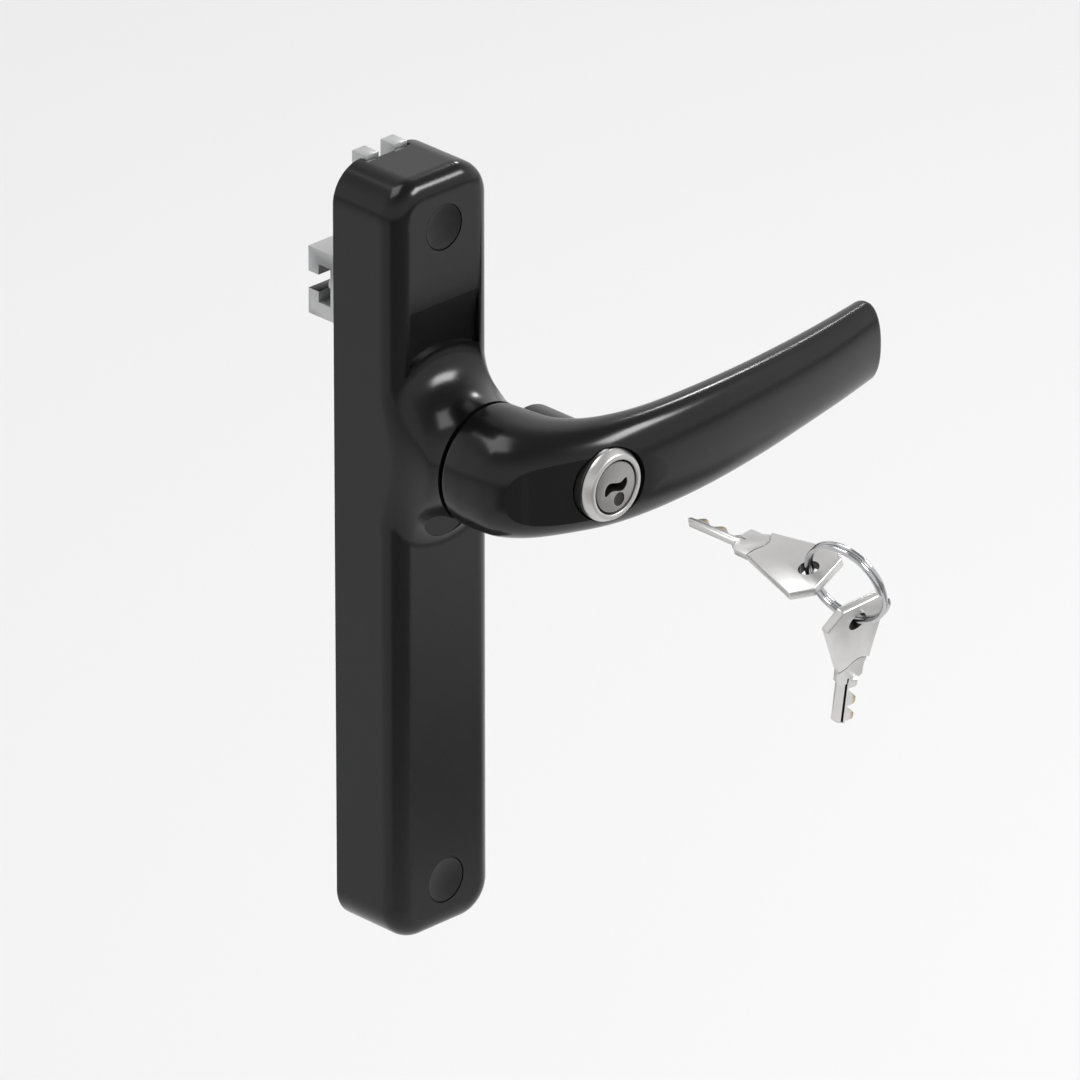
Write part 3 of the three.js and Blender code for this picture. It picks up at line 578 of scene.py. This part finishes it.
def round_outline(low, high, radius, steps=12):
    """Rectangle with round corners as (x, z) points."""
    centres = [(high.x - radius, high.z - radius), (low.x + radius, high.z - radius),
               (low.x + radius, low.z + radius), (high.x - radius, low.z + radius)]
    points = []
    for corner, (cx, cz) in enumerate(centres):
        for i in range(steps + 1):
            angle = (corner + i / steps) * math.pi / 2
            points.append((cx + radius * math.cos(angle), cz + radius * math.sin(angle)))
    return points


seat_gap = Vector((0.3, 0, 0.3)) * MM
seat = round_outline(plate_low - seat_gap, plate_high + seat_gap, 6 * MM)
carve(shell, [extruded("seat", seat, (plate_low.y - 0.3 * MM, 1 * MM))])
carve(shell, [slab((-6.1 * MM, 6.1 * MM), (-2 * MM, 1 * MM), (50 * MM, 70 * MM))])
plate_screws = [f"back_plate_screw_{word}" for word in ("left", "right", "middle", "lower")]
for screw in plate_screws:
    a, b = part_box(screw)
    carve(shell, [bar(1.4 * MM, (-9 * MM, 0), ((a.x + b.x) / 2, (a.z + b.z) / 2), 32)])
true_normals(crease(shell, 32), housing_distance, 25)
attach(shell, "frame")
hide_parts("housing")


# ---- caps and fixing screws -----------------------------------------------------------
# Two moulded black plugs with dished faces snap into the wells over the steel fixing screws,
# which are zinc-plated, with a hexagon socket.
def black_plastic():
    finish = Finish("black_plastic", 0.45, IOR=1.4)
    grain = finish.noise(0.00035, 3.0)
    cloud = finish.noise(0.006)
    finish.set("Base Color", finish.colour(cloud, (0.0048, 0.0048, 0.005), (0.0085, 0.0085, 0.009)))
    finish.set("Roughness", 0.38 + grain * 0.14)
    finish.bump(grain, 0.000003)
    return finish.material


def plated_steel():
    finish = Finish("plated_steel", 0.3, 1.0)
    cloud = finish.noise(0.003)
    grain = finish.noise(0.0003, 4.0)
    finish.set("Base Color", finish.colour(cloud, (0.50, 0.51, 0.53), (0.62, 0.61, 0.57)))
    finish.set("Roughness", 0.24 + grain * 0.2)
    finish.bump(grain, 0.000004)
    return finish.material


PLASTIC = black_plastic()
STEEL = plated_steel()


def dress(material, *nodes, degrees=16):
    """Gives CAD nodes a finish, with round surfaces smooth and edges sharp."""
    for name in nodes:
        node = frame["nodes"][name]
        node.data.materials.clear()
        node.data.materials.append(material)
        weld = node.modifiers.new("weld", "WELD")
        weld.merge_threshold = 1e-6
        node.modifiers.new("sharp_edges", "EDGE_SPLIT").split_angle = math.radians(degrees)
        for face in node.data.polygons:
            face.use_smooth = True


for word, z in zip(("upper", "lower"), FIXING_Z):
    low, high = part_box(f"screw_cap_{word}")
    radius = (high.x - low.x) / 2
    rim = 0.22 * MM
    dish = 0.9 * MM
    profile = [(0, high.y), (radius - 0.2 * MM, high.y), (radius, high.y - 0.2 * MM)]
    for i in range(9):
        angle = i / 8 * math.pi / 2
        profile.append((radius - rim * (1 - math.cos(angle)), low.y + rim * (1 - math.sin(angle))))
    face = radius - rim
    profile += [(face * (1 - i / 24), low.y + dish * (1 - (1 - i / 24) ** 2)) for i in range(1, 24)]
    profile.append((0, low.y + dish))
    cap = crease(turned(f"cap_{word}", profile, PLASTIC, (0, z)), 50)
    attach(cap, "frame")
    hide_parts(f"screw_cap_{word}")
dress(STEEL, "fixing_screw_upper", "fixing_screw_lower")


# ---- back plate -----------------------------------------------------------------------
# A die-cast zinc plate closes the housing's rear and guides the runner in its channel; four
# small countersunk screws hold it.
def cast_zinc():
    finish = Finish("cast_zinc", 0.4, 0.9)
    cloud = finish.noise(0.007, 3.0)
    grain = finish.noise(0.0005, 4.0)
    rub = finish.edges()
    dull = finish.colour(cloud, (0.23, 0.235, 0.242), (0.31, 0.31, 0.315))
    finish.set("Base Color", finish.colour(rub * 0.6, dull, (0.72, 0.72, 0.72)))
    finish.set("Roughness", 0.36 + grain * 0.2 - rub * 0.08)
    finish.bump(grain + cloud * 0.4, 0.000012)
    return finish.material


ZINC = cast_zinc()
dress(ZINC, "back_plate")
dress(STEEL, *plate_screws)


# ---- bearing and turning parts --------------------------------------------------------
# The lever's spigot turns in a nylon bush; a square steel spindle carries the zinc pinion,
# held by a clip and a friction washer. A sprung ball in a nylon block clicks in its notches.
def natural_nylon():
    finish = Finish("natural_nylon", 0.5, Subsurface_Weight=0.15, Subsurface_Scale=0.001)
    cloud = finish.noise(0.004)
    finish.set("Base Color", finish.colour(cloud, (0.66, 0.64, 0.58), (0.76, 0.75, 0.70)))
    finish.set("Roughness", 0.42 + cloud * 0.15)
    finish.bump(finish.noise(0.0006, 3.0), 0.000006)
    return finish.material


def spring_wire():
    finish = Finish("spring_wire", 0.3, 1.0)
    drawn = finish.noise(0.0004, 3.0)
    finish.set("Base Color", finish.colour(drawn, (0.28, 0.28, 0.29), (0.44, 0.43, 0.42)))
    finish.set("Roughness", 0.22 + drawn * 0.2)
    finish.bump(drawn, 0.000004)
    return finish.material


NYLON = natural_nylon()
WIRE = spring_wire()
dress(NYLON, "neck_bush", "detent_block")
dress(STEEL, "spindle", "spindle_clip", "friction_washer", "detent_ball")
dress(ZINC, "pinion", "rack")
dress(WIRE, "detent_spring", "return_spring", degrees=60)


# ---- runner and drive block -----------------------------------------------------------
# A flat zinc bar, its top forked round the upper fixing screw, slides behind the housing. The
# C-shaped block screwed to it takes the rod's head in its T-slot. Both are satin castings.
def rounded_block(name, node, cutters, width):
    low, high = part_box(node)
    made = slab((low.x, high.x), (low.y, high.y), (low.z, high.z), ZINC, name)
    carve(made, cutters(low, high))
    crease(soften(made, width), 35)
    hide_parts(node)
    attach(made, "slider")
    return made


def runner_cuts(low, high):
    prong = 3.5 * MM
    gap = high.x - prong
    root = 43.5 * MM
    through = (low.y - 1 * MM, high.y + 1 * MM)
    studs = [sum(c.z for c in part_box(f"runner_screw_{word}")) / 2 for word in ("lower", "upper")]
    return [
        slab((-gap, gap), through, (root + gap, high.z + 10 * MM)),
        bar(gap, through, (0, root + gap)),
        *[bar(1.4 * MM, through, (0, z), 32) for z in studs],
        *[bar(2.5 * MM, (high.y - 1.6 * MM, high.y + 1 * MM), (0, z), 48) for z in studs],
        *[bar(1.4 * MM, (0, high.y + 1 * MM), (side * 3.3 * MM, BLOCK_MIDDLE), 32) for side in (-1, 1)],
    ]


def block_cuts(low, high):
    across = (low.x - 1 * MM, high.x + 1 * MM)
    mouth, hollow = 1.9 * MM, 4.3 * MM
    hollow_y = (9.3 * MM, high.y - 3 * MM)
    return [
        slab(across, hollow_y, (BLOCK_MIDDLE - hollow, BLOCK_MIDDLE + hollow)),
        slab(across, (10 * MM, high.y + 1 * MM), (BLOCK_MIDDLE - mouth, BLOCK_MIDDLE + mouth)),
        *[bar(1.4 * MM, (2 * MM, 10 * MM), (side * 3.3 * MM, BLOCK_MIDDLE), 32) for side in (-1, 1)],
        *[bar(2.1 * MM, (9.25 * MM, 9.6 * MM), (side * 3.3 * MM, BLOCK_MIDDLE), 32) for side in (-1, 1)],
    ]


block_low, block_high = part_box("drive_block")
BLOCK_MIDDLE = (block_low.z + block_high.z) / 2
rounded_block("runner_fork", "runner_bar", runner_cuts, 0.3 * MM)
rounded_block("drive_block_casting", "drive_block", block_cuts, 0.3 * MM)
dress(STEEL, "runner_screw_lower", "runner_screw_upper", "drive_block_screw_left", "drive_block_screw_right")


# ---- lever ----------------------------------------------------------------------------
# One zinc casting in the same gloss black: an oval hub that sweeps forward and out into a
# tapering blade, with a flat oval round the lock, a boss behind it and a spigot in the neck.
LEVER_STATIONS = [
    # front x, front p, back x, back p, half height; p is the distance before the housing
    (-13.2, 12.3, 13.2, 12.3, 13.2),
    (-13.1, 17.5, 13.3, 14.0, 13.0),
    (-12.0, 24.5, 13.8, 16.8, 12.5),
    (-7.8, 30.2, 15.0, 20.2, 12.0),
    (1.0, 35.2, 17.6, 23.2, 11.6),
    (12.0, 38.5, 22.0, 25.6, 11.5),
    (25.5, 39.5, 28.5, 27.0, 11.3),
    (41.4, 38.8, 40.4, 27.2, 11.0),
    (57.6, 36.8, 56.2, 26.0, 10.4),
    (73.6, 34.0, 71.8, 23.8, 9.7),
    (87.4, 31.0, 85.4, 21.7, 9.3),
    (99.8, 27.8, 98.2, 19.4, 9.0),
]
LEVER_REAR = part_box("lever")[1].y


def smooth_rows(rows, per_span):
    """A smooth curve through rows of numbers, per_span rows for each span."""
    rows = np.array(rows, float)
    slopes = np.gradient(rows, axis=0)
    out = []
    for i in range(len(rows) - 1):
        for t in np.linspace(0, 1, per_span, endpoint=False):
            h = np.array([2 * t**3 - 3 * t**2 + 1, t**3 - 2 * t**2 + t, -2 * t**3 + 3 * t**2, t**3 - t**2])
            out.append(h[0] * rows[i] + h[1] * slopes[i] + h[2] * rows[i + 1] + h[3] * slopes[i + 1])
    out.append(rows[-1])
    return np.array(out)


def lever_blank():
    around = 144
    per_span = 12
    rows = smooth_rows(LEVER_STATIONS, per_span) * MM
    tip_radius = 1.7 * MM
    rear_radius = 0.7 * MM
    rings = []
    travelled = np.r_[0, np.cumsum(np.hypot(*np.diff((rows[:, :2] + rows[:, 2:4]) / 2, axis=0).T))]
    tip = travelled[-1]
    places = [rear_radius * (1 - math.cos(i / 12 * math.pi / 2)) for i in range(13)]
    places += list(travelled[(travelled > rear_radius * 1.2) & (travelled < tip - tip_radius)])
    places += [tip - tip_radius * (1 - math.sin(i / 18 * math.pi / 2)) for i in range(19)]
    for place_at in places:
        row = np.array([np.interp(place_at, travelled, rows[:, k]) for k in range(5)])
        into_tip = max(0.0, place_at - (tip - tip_radius)) / tip_radius
        from_rear = max(0.0, rear_radius - place_at) / rear_radius
        shrink = tip_radius * (1 - math.sqrt(max(0.0, 1 - into_tip**2)))
        shrink += rear_radius * (1 - math.sqrt(max(0.0, 1 - from_rear**2)))
        front, back = row[:2], row[2:4]
        middle, reach = (front + back) / 2, (front - back) / 2
        reach = reach * (1 - shrink / np.hypot(*reach))
        half = row[4] - shrink
        blend_in = min(1.0, place_at / (8 * MM))
        power = 2 / (2 + 0.3 * blend_in)
        ring_points = []
        for i in range(around):
            angle = 2 * math.pi * i / around
            c = math.copysign(abs(math.cos(angle)) ** power, math.cos(angle))
            s = math.copysign(abs(math.sin(angle)) ** power, math.sin(angle))
            plan = middle + c * reach
            ring_points.append((plan[0], FRONT - plan[1], s * half))
        rings.append(ring_points)
    vertices = [v for r in rings for v in r]
    count = len(rings)
    faces = [tuple(range(around)), tuple(range(count * around - 1, (count - 1) * around - 1, -1))]
    for k in range(count - 1):
        for i in range(around):
            j = (i + 1) % around
            faces.append((k * around + i, k * around + j, (k + 1) * around + j, (k + 1) * around + i))
    return piece("lever_casting", vertices, faces, LACQUER)


FACET_X, FACET_Y, FACET_RADIUS = 29 * MM, FRONT + 31.2 * MM, 70.8 * MM


def facet_distance(p):
    """Distance in front of the upright cylinder on which the facet lies."""
    return np.hypot(p[..., 0] - FACET_X, p[..., 1] - FACET_Y) - FACET_RADIUS


def facet_cutter():
    """Everything in front of an upright cylinder, whose wall is the smooth oval round the lock."""
    steps = 120
    outline = []
    for i in range(steps + 1):
        x = -16 * MM + (FACET_X + 16 * MM) * i / steps
        outline.append((x, FACET_Y - math.sqrt(FACET_RADIUS**2 - (x - FACET_X) ** 2)))
    outline += [(FACET_X, FRONT - 50 * MM), (-16 * MM, FRONT - 50 * MM)]
    half = 20 * MM
    return prism("facet", *[[(x, y, side * half) for x, y in outline] for side in (-1, 1)])


def upright_bar(radius, z, x, y, steps=32):
    made = bar(radius, z, (0, 0), steps)
    made.data.transform(Matrix.Translation((x, y, 0)) @ Matrix.Rotation(math.pi / 2, 4, "X"))
    return made


def lever():
    rear = FRONT - 12.3 * MM
    bore_floor = FRONT - 14.6 * MM
    spigot_end = LEVER_REAR
    half = 3.8 * MM
    made = carve(lever_blank(), [facet_cutter()])
    boss = turned("boss", [(0, rear), (8.9 * MM, rear), (9.6 * MM, rear - 0.7 * MM),
                           (9.6 * MM, FRONT - 32 * MM), (0, FRONT - 32 * MM)], None, (LOCK_X, 0), 128)
    carve(made, [boss, bar(6.2 * MM, (rear - 1 * MM, spigot_end))], "UNION")
    nose = carve(bar(8.2 * MM, (bore_floor - 1 * MM, rear + 1 * MM), (LOCK_X, 0)),
                 [bar(9.4 * MM, (bore_floor - 2 * MM, rear + 2 * MM))])
    pin_y = FRONT - 24 * MM
    catch_y = FRONT - 18.5 * MM
    carve(made, [
        bar(8.2 * MM, (FRONT - 60 * MM, bore_floor), (LOCK_X, 0)), nose,
        slab((-half, half), (rear - 1.5 * MM, spigot_end + 1 * MM), (-half, half)),
        upright_bar(1.3 * MM, (-20 * MM, -6 * MM), LOCK_X, pin_y),
        upright_bar(1.6 * MM, (7 * MM, 9.4 * MM), LOCK_X, catch_y),
    ])
    return true_normals(crease(made, 10), facet_distance, 3)


handle = lever()
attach(handle, "handle")
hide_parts("lever")
dress(STEEL, "guide_pin")


# ---- lock -----------------------------------------------------------------------------
# A push-in cylinder: a black sleeve with a satin nickel bezel pressed on its front, and in it
# a turned plug with an S-shaped keyway, brass wafers, a cam and a catch pin.
def turned_nickel(name, dark, light, rough):
    finish = Finish(name, rough, 1.0)
    lock_axis = {0: finish.place(), 1: (LOCK_X, 0, 0)}
    axis_offset = finish.node("ShaderNodeVectorMath", {"operation": "SUBTRACT"}, lock_axis)
    flat = finish.node("ShaderNodeVectorMath", {"operation": "MULTIPLY"}, {0: axis_offset, 1: (1, 0, 1)})
    radius = finish.node("ShaderNodeVectorMath", {"operation": "LENGTH"}, {0: flat}, "Value")
    along = finish.node("ShaderNodeCombineXYZ", {}, {0: radius, 1: 0.0, 2: 0.0})
    tool_marks = finish.noise(0.00012, 2.0, along)
    cloud = finish.noise(0.003)
    finish.set("Base Color", finish.colour(cloud * 0.5 + tool_marks * 0.5, dark, light))
    finish.set("Roughness", rough - 0.06 + tool_marks * 0.12)
    finish.bump(tool_marks, 0.000004)
    return finish.material


def black_sleeve():
    finish = Finish("black_sleeve", 0.22, IOR=1.5)
    cloud = finish.noise(0.004)
    finish.set("Base Color", finish.colour(cloud, (0.006, 0.006, 0.0065), (0.012, 0.012, 0.013)))
    finish.set("Roughness", 0.18 + cloud * 0.12)
    finish.bump(finish.noise(0.0008, 2.0), 0.000003)
    return finish.material


def stamped_brass():
    finish = Finish("stamped_brass", 0.34, 1.0)
    cloud = finish.noise(0.002, 3.0)
    finish.set("Base Color", finish.colour(cloud, (0.52, 0.36, 0.13), (0.66, 0.49, 0.21)))
    finish.set("Roughness", 0.28 + cloud * 0.16)
    finish.bump(finish.noise(0.0003, 3.0), 0.000004)
    return finish.material


BEZEL = turned_nickel("bezel_nickel", (0.52, 0.51, 0.50), (0.64, 0.63, 0.615), 0.36)
PLUG = turned_nickel("plug_nickel", (0.30, 0.295, 0.29), (0.40, 0.395, 0.385), 0.34)
SLEEVE = black_sleeve()
BRASS = stamped_brass()


def about_lock(profile):
    """Radii and depths behind the lock face, in millimetres, as a profile about the lock axis."""
    return [(r * MM, LOCK_FACE + y * MM) for r, y in profile]


def bezel():
    """A ring with a conical face, its outer and inner rims turned round."""
    profile = [(5.9, 2.2), (5.9, 0.25), (5.96, 0.09), (6.1, 0.01), (6.4, 0.0), (6.8, 0.03), (7.0, 0.12),
               (7.12, 0.28), (7.7, 1.35), (7.82, 1.6), (7.9, 1.9), (7.9, 2.1), (7.8, 2.2), (5.9, 2.2)]
    steps = 128
    points = about_lock(profile[:-1])
    vertices = []
    for r, y in points:
        for i in range(steps):
            angle = 2 * math.pi * i / steps
            vertices.append((LOCK_X + r * math.cos(angle), y, r * math.sin(angle)))
    count = len(points)
    faces = []
    for k in range(count):
        for i in range(steps):
            j = (i + 1) % steps
            n = (k + 1) % count
            faces.append((k * steps + i, k * steps + j, n * steps + j, n * steps + i))
    return crease(piece("lock_bezel", vertices, faces, BEZEL), 40)


def keyway_outline(width, thickness, steps=24):
    """The S-shaped section of the keyway, or of the blade, as (across, up) points."""
    bend = 0.75 * MM
    wave = 6.6 * MM
    upper, lower = [], []
    for i in range(steps + 1):
        share = math.cos(math.pi * (1 - i / steps))
        across = share * width / 2
        middle = -bend * math.sin(2 * math.pi * across / wave)
        half = thickness / 2 * math.sqrt(1 - abs(share) ** 6) if 0 < i < steps else 0
        upper.append((across, middle + half))
        if 0 < i < steps:
            lower.insert(0, (across, middle - half))
    return upper + lower


first_swing = next(j for j in frame["joints"] if j["name"] == "ring_swing")
PLATE_NORMAL = Vector(first_swing["axis"]).normalized()
KEY_ACROSS = Vector((0, 1, 0)).cross(PLATE_NORMAL).normalized()
CORE_PLACE = Matrix((KEY_ACROSS, Vector((0, 1, 0)), PLATE_NORMAL)).transposed().to_4x4()
CORE_PLACE = Matrix.Translation((LOCK_X, 0, 0)) @ CORE_PLACE


def plug():
    """Round plug with a broken edge, its S keyway, wafer slots and a drilled mark below."""
    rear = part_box("lock_plug")[1].y
    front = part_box("lock_plug")[0].y
    radius = 5.5 * MM
    edge, turn = 0.25 * MM, 0.08 * MM
    profile = [(0, rear), (radius, rear), (radius, front + edge), (radius - turn, front + turn),
               (radius - edge, front), (0, front)]
    made = turned("plug_core", profile, PLUG, (LOCK_X, 0), 128)
    keyway = extruded("keyway", keyway_outline(6.6 * MM, 2.1 * MM), (front - 1 * MM, rear + 1 * MM))
    keyway.data.transform(CORE_PLACE)
    cutters = [keyway]
    for name in ("wafer_1", "wafer_2", "wafer_3", "wafer_4"):
        a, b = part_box(name)
        opening = slab((-6 * MM, 6 * MM), (a.y - 0.3 * MM, b.y + 0.3 * MM), (-2.7 * MM, 2.7 * MM))
        opening.data.transform(CORE_PLACE)
        cutters.append(opening)
    carve(made, cutters)
    mark_radius = 1.5 * MM
    depth = 0.12 * MM
    mark = [(0, front - 1 * MM), (mark_radius * 1.3, front - 1 * MM), (mark_radius, front)]
    mark += [(mark_radius * math.cos(i / 10 * math.pi / 2), front + depth * math.sin(i / 10 * math.pi / 2))
             for i in range(1, 10)]
    mark.append((0, front + depth))
    below = Vector((LOCK_X, 0, 0)) - PLATE_NORMAL * 3.1 * MM
    carve(made, [turned("mark", mark, None, (below.x, below.z), 48)])
    return crease(made, 35)


def sleeve():
    front, rear = 2.5, 19.5
    radius = 7.9
    made = turned("lock_barrel_sleeve", about_lock([(0, front), (radius - 0.3, front), (radius, front + 0.3),
                                                    (radius, rear), (0, rear)]), SLEEVE, (LOCK_X, 0), 128)
    nose_end = 26.1
    neck_side = bar(9.8 * MM, (-0.1, 0))
    nose_profile = about_lock([(0, rear - 1), (radius, rear - 1), (radius, nose_end), (0, nose_end)])
    nose = carve(turned("nose", nose_profile, None, (LOCK_X, 0), 128), [neck_side])
    carve(made, [nose], "UNION")
    pin = 15.0
    spring_x = -4.4 * MM
    guide_half = 1.3 * MM
    guide_y = (LOCK_FACE + (pin - 5.8) * MM, LOCK_FACE + pin * MM + guide_half)
    guide = slab((LOCK_X - guide_half, LOCK_X + guide_half), guide_y, (-9 * MM, -6.6 * MM))
    catch_y = sum(c.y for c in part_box("catch_pin")) / 2
    carve(made, [
        turned("bore", about_lock([(0, 0), (5.8, 0), (5.8, 17.5), (0, 17.5)]), None, (LOCK_X, 0)), guide,
        upright_bar(1.5 * MM, (4 * MM, 9 * MM), LOCK_X, catch_y),
        bar(2.6 * MM, (LOCK_FACE + 17.8 * MM, LOCK_FACE + 20.5 * MM), (LOCK_X + spring_x, 0), 48),
    ])
    return crease(made, 32)


for made, node, body, slot_name in (
    (bezel(), "lock_flange", "lock_barrel", "satin_nickel"),
    (sleeve(), "lock_sleeve", "lock_barrel", "black_sleeve"),
    (plug(), "lock_plug", "lock_core", "satin_nickel"),
):
    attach(made, body)
    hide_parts(node)
dress(BRASS, "wafer_1", "wafer_2", "wafer_3", "wafer_4")
dress(STEEL, "locking_cam", "catch_pin")


# ---- keys -----------------------------------------------------------------------------
# Two flat keys stamped from brass and nickel-plated: a pointed bow, thicker than the collar,
# with its hole near the end, and a short S-shaped blade whose two bits carry a painted gold highlight.
KEY_HOLE = 33.5 * MM
BLADE_END = 13.4 * MM
BLADE_WIDTH = 4.2 * MM


def key_nickel():
    finish = Finish("key_nickel", 0.34, 1.0)
    brushed = finish.noise(1.0, 3.0, finish.node(
        "ShaderNodeVectorMath", {"operation": "MULTIPLY"}, {0: finish.place(), 1: (5000, 250, 5000)}))
    cloud = finish.noise(0.005)
    plating = finish.colour(cloud, (0.64, 0.635, 0.63), (0.74, 0.735, 0.725))
    across = finish.node("ShaderNodeSeparateXYZ", {}, {0: finish.place()}, 0)
    along = finish.node("ShaderNodeSeparateXYZ", {}, {0: finish.place()}, 1)
    # Painted highlight: brass gold is painted on the two bits and stands in for the golden glints at the
    # teeth.
    painted_gold_highlight = across.between(0.0007, 0.0013) * along.between(-0.012, -0.0105)
    finish.set("Base Color", finish.colour(painted_gold_highlight * 0.85, plating, (0.60, 0.42, 0.18)))
    finish.set("Roughness", 0.26 + brushed * 0.14)
    finish.bump(brushed, 0.000003)
    return finish.material


KEY_METAL = key_nickel()


def plate(name, outline, thickness):
    """A flat plate in the key's own plane, from (across, along) points in millimetres."""
    half = thickness / 2
    return prism(name, *[[(x * MM, y * MM, side * half) for x, y in outline] for side in (-1, 1)], KEY_METAL)


def key(name):
    """The key about its own tip: across is x, along is y with the bow at negative y."""
    bow = [(4.7, -18.4), (7.6, -34.7), (5.7, -37.5), (-4.3, -39.2), (-8.1, -35.5), (-3.3, -19),
           (-1.2, -19.3), (0.9, -20.3), (2.4, -20.2)]
    collar = [(2.1, -13.3), (3.5, -13.8), (3.6, -17.2), (4.6, -19.2), (4.4, -22), (-2.6, -22), (-3.2, -19),
              (-3.1, -15), (-2.1, -13.6), (-2.1, -13.3)]
    made = soften(plate(name, bow, 2.0 * MM), 0.32 * MM, 30, 3)
    shank = soften(plate("collar", collar, 1.62 * MM), 0.2 * MM, 30, 2)
    blade = extruded("blade", keyway_outline(BLADE_WIDTH, 1.6 * MM), (-BLADE_END - 0.6 * MM, 0), KEY_METAL)
    low, high, clear = 0.1, 2.4, 5.0
    bitting = [(low, 1), (low, -0.8), (high, -1.9), (low, -5.1), (low, -5.6), (high, -7.2), (low, -10.5),
               (low, -11.5), (high, -12.6), (clear, -12.6), (clear, 1)]
    tip = [(-3, 1), (-0.6, 1), (-0.6, 0.2), (-2.4, -1.5), (-3, -1.5)]
    carve(blade, [plate("bitting", bitting, 6 * MM), plate("tip", tip, 6 * MM)])
    soften(blade, 0.08 * MM, 40, 2)
    carve(made, [shank, blade], "UNION")
    step = [(-3.4, -18.9), (-1.2, -19.2), (0.9, -20.2), (2.4, -20.1), (4.8, -18.3)]
    step += [(x, y + 0.3) for x, y in reversed(step)]
    lines = []
    for side in (1, -1):
        line = plate("step_line", step, 1 * MM)
        line.data.transform(Matrix.Translation((0, 0, side * 0.95 * MM)))
        groove = slab((0.2 * MM, 0.62 * MM), (-15 * MM, 1 * MM), (0.28 * MM, 2 * MM))
        if side < 0:
            groove.data.transform(Matrix.Rotation(math.pi, 4, "Y"))
        lines += [line, groove]
    carve(made, lines)
    hole = upright_bar(2 * MM, (-2 * MM, 2 * MM), 0, 0, 64)
    hole.data.transform(Matrix.Translation((0, -KEY_HOLE, 0)))
    face, floor = -1.001 * MM, -0.8 * MM
    rim = turned("rim", [(0, face), (2.25 * MM, face), (2 * MM, floor), (0, floor)], steps=64)
    rim.data.transform(Matrix.Translation((0, -KEY_HOLE, 0)) @ Matrix.Rotation(math.pi / 2, 4, "X"))
    other_rim = rim.copy()
    other_rim.data = rim.data.copy()
    bpy.context.scene.collection.objects.link(other_rim)
    other_rim.data.transform(Matrix.Diagonal((1, 1, -1, 1)))
    other_rim.data.flip_normals()
    carve(made, [hole, rim, other_rim])
    return crease(made, 28)


second_swing = next(j for j in frame["joints"] if j["name"] == "second_key_swing")
first_hole = Vector(first_swing["pos_m"])
second_hole = Vector(second_swing["pos_m"])
along = Vector((0.258, 0.355, -0.899)).normalized()
across = Vector((0.966, -0.113, 0.232))
across = (across - along * across.dot(along)).normalized()
first_axes = Matrix((KEY_ACROSS, Vector((0, 1, 0)), PLATE_NORMAL)).transposed().to_4x4()
second_axes = Matrix((across, along, across.cross(along))).transposed().to_4x4()
for name, axes, hole, body, node in (
    ("first_key", first_axes, first_hole, "first_key", "key_1"),
    ("second_key", second_axes, second_hole, "second_key", "key_2"),
):
    made = key(name)
    made.matrix_world = Matrix.Translation(hole) @ axes @ Matrix.Translation((0, KEY_HOLE, 0))
    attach(made, body)
    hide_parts(node)


# ---- key ring -------------------------------------------------------------------------
# A split ring: two turns of bright-plated spring wire lying side by side, its ends ground
# round.
def bright_wire():
    finish = Finish("bright_wire", 0.12, 1.0)
    cloud = finish.noise(0.003)
    finish.set("Base Color", finish.colour(cloud, (0.50, 0.50, 0.515), (0.62, 0.62, 0.63)))
    finish.set("Roughness", 0.08 + cloud * 0.1)
    finish.bump(finish.noise(0.0004, 2.0), 0.000003)
    return finish.material


def split_ring():
    ring_radius, wire_radius, pitch, turns = 9.4 * MM, 0.54 * MM, 1.25 * MM, 1.96
    normal = Vector(second_swing["axis"]).cross(second_hole - RING_CENTRE).normalized()
    out = (RING_CENTRE - first_hole).normalized()
    if normal.dot(Vector((1, 0, 0))) < 0:
        normal.negate()
    side = out.cross(normal)
    curve = bpy.data.curves.new("split_ring", "CURVE")
    curve.dimensions = "3D"
    curve.bevel_depth = wire_radius
    curve.bevel_resolution = 6
    curve.use_fill_caps = True
    spline = curve.splines.new("POLY")
    steps = 240
    spline.points.add(steps)
    for i in range(steps + 1):
        t = i / steps
        angle = 2 * math.pi * turns * t
        lift = pitch * turns * (t - 0.5)
        point = RING_CENTRE + out * ring_radius * math.cos(angle) + normal * lift
        point += side * ring_radius * math.sin(angle)
        from_end = min(t, 1 - t) * steps
        spline.points[i].co = (*point, 1)
        spline.points[i].radius = math.sqrt(min(1.0, (from_end + 0.4) / 2.4))
    made = bpy.data.objects.new("split_ring", curve)
    bpy.context.scene.collection.objects.link(made)
    curve.materials.append(bright_wire())
    return made


ring_low, ring_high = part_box("key_ring")
RING_CENTRE = (ring_low + ring_high) / 2
ring = split_ring()
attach(ring, "ring")
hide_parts("key_ring")
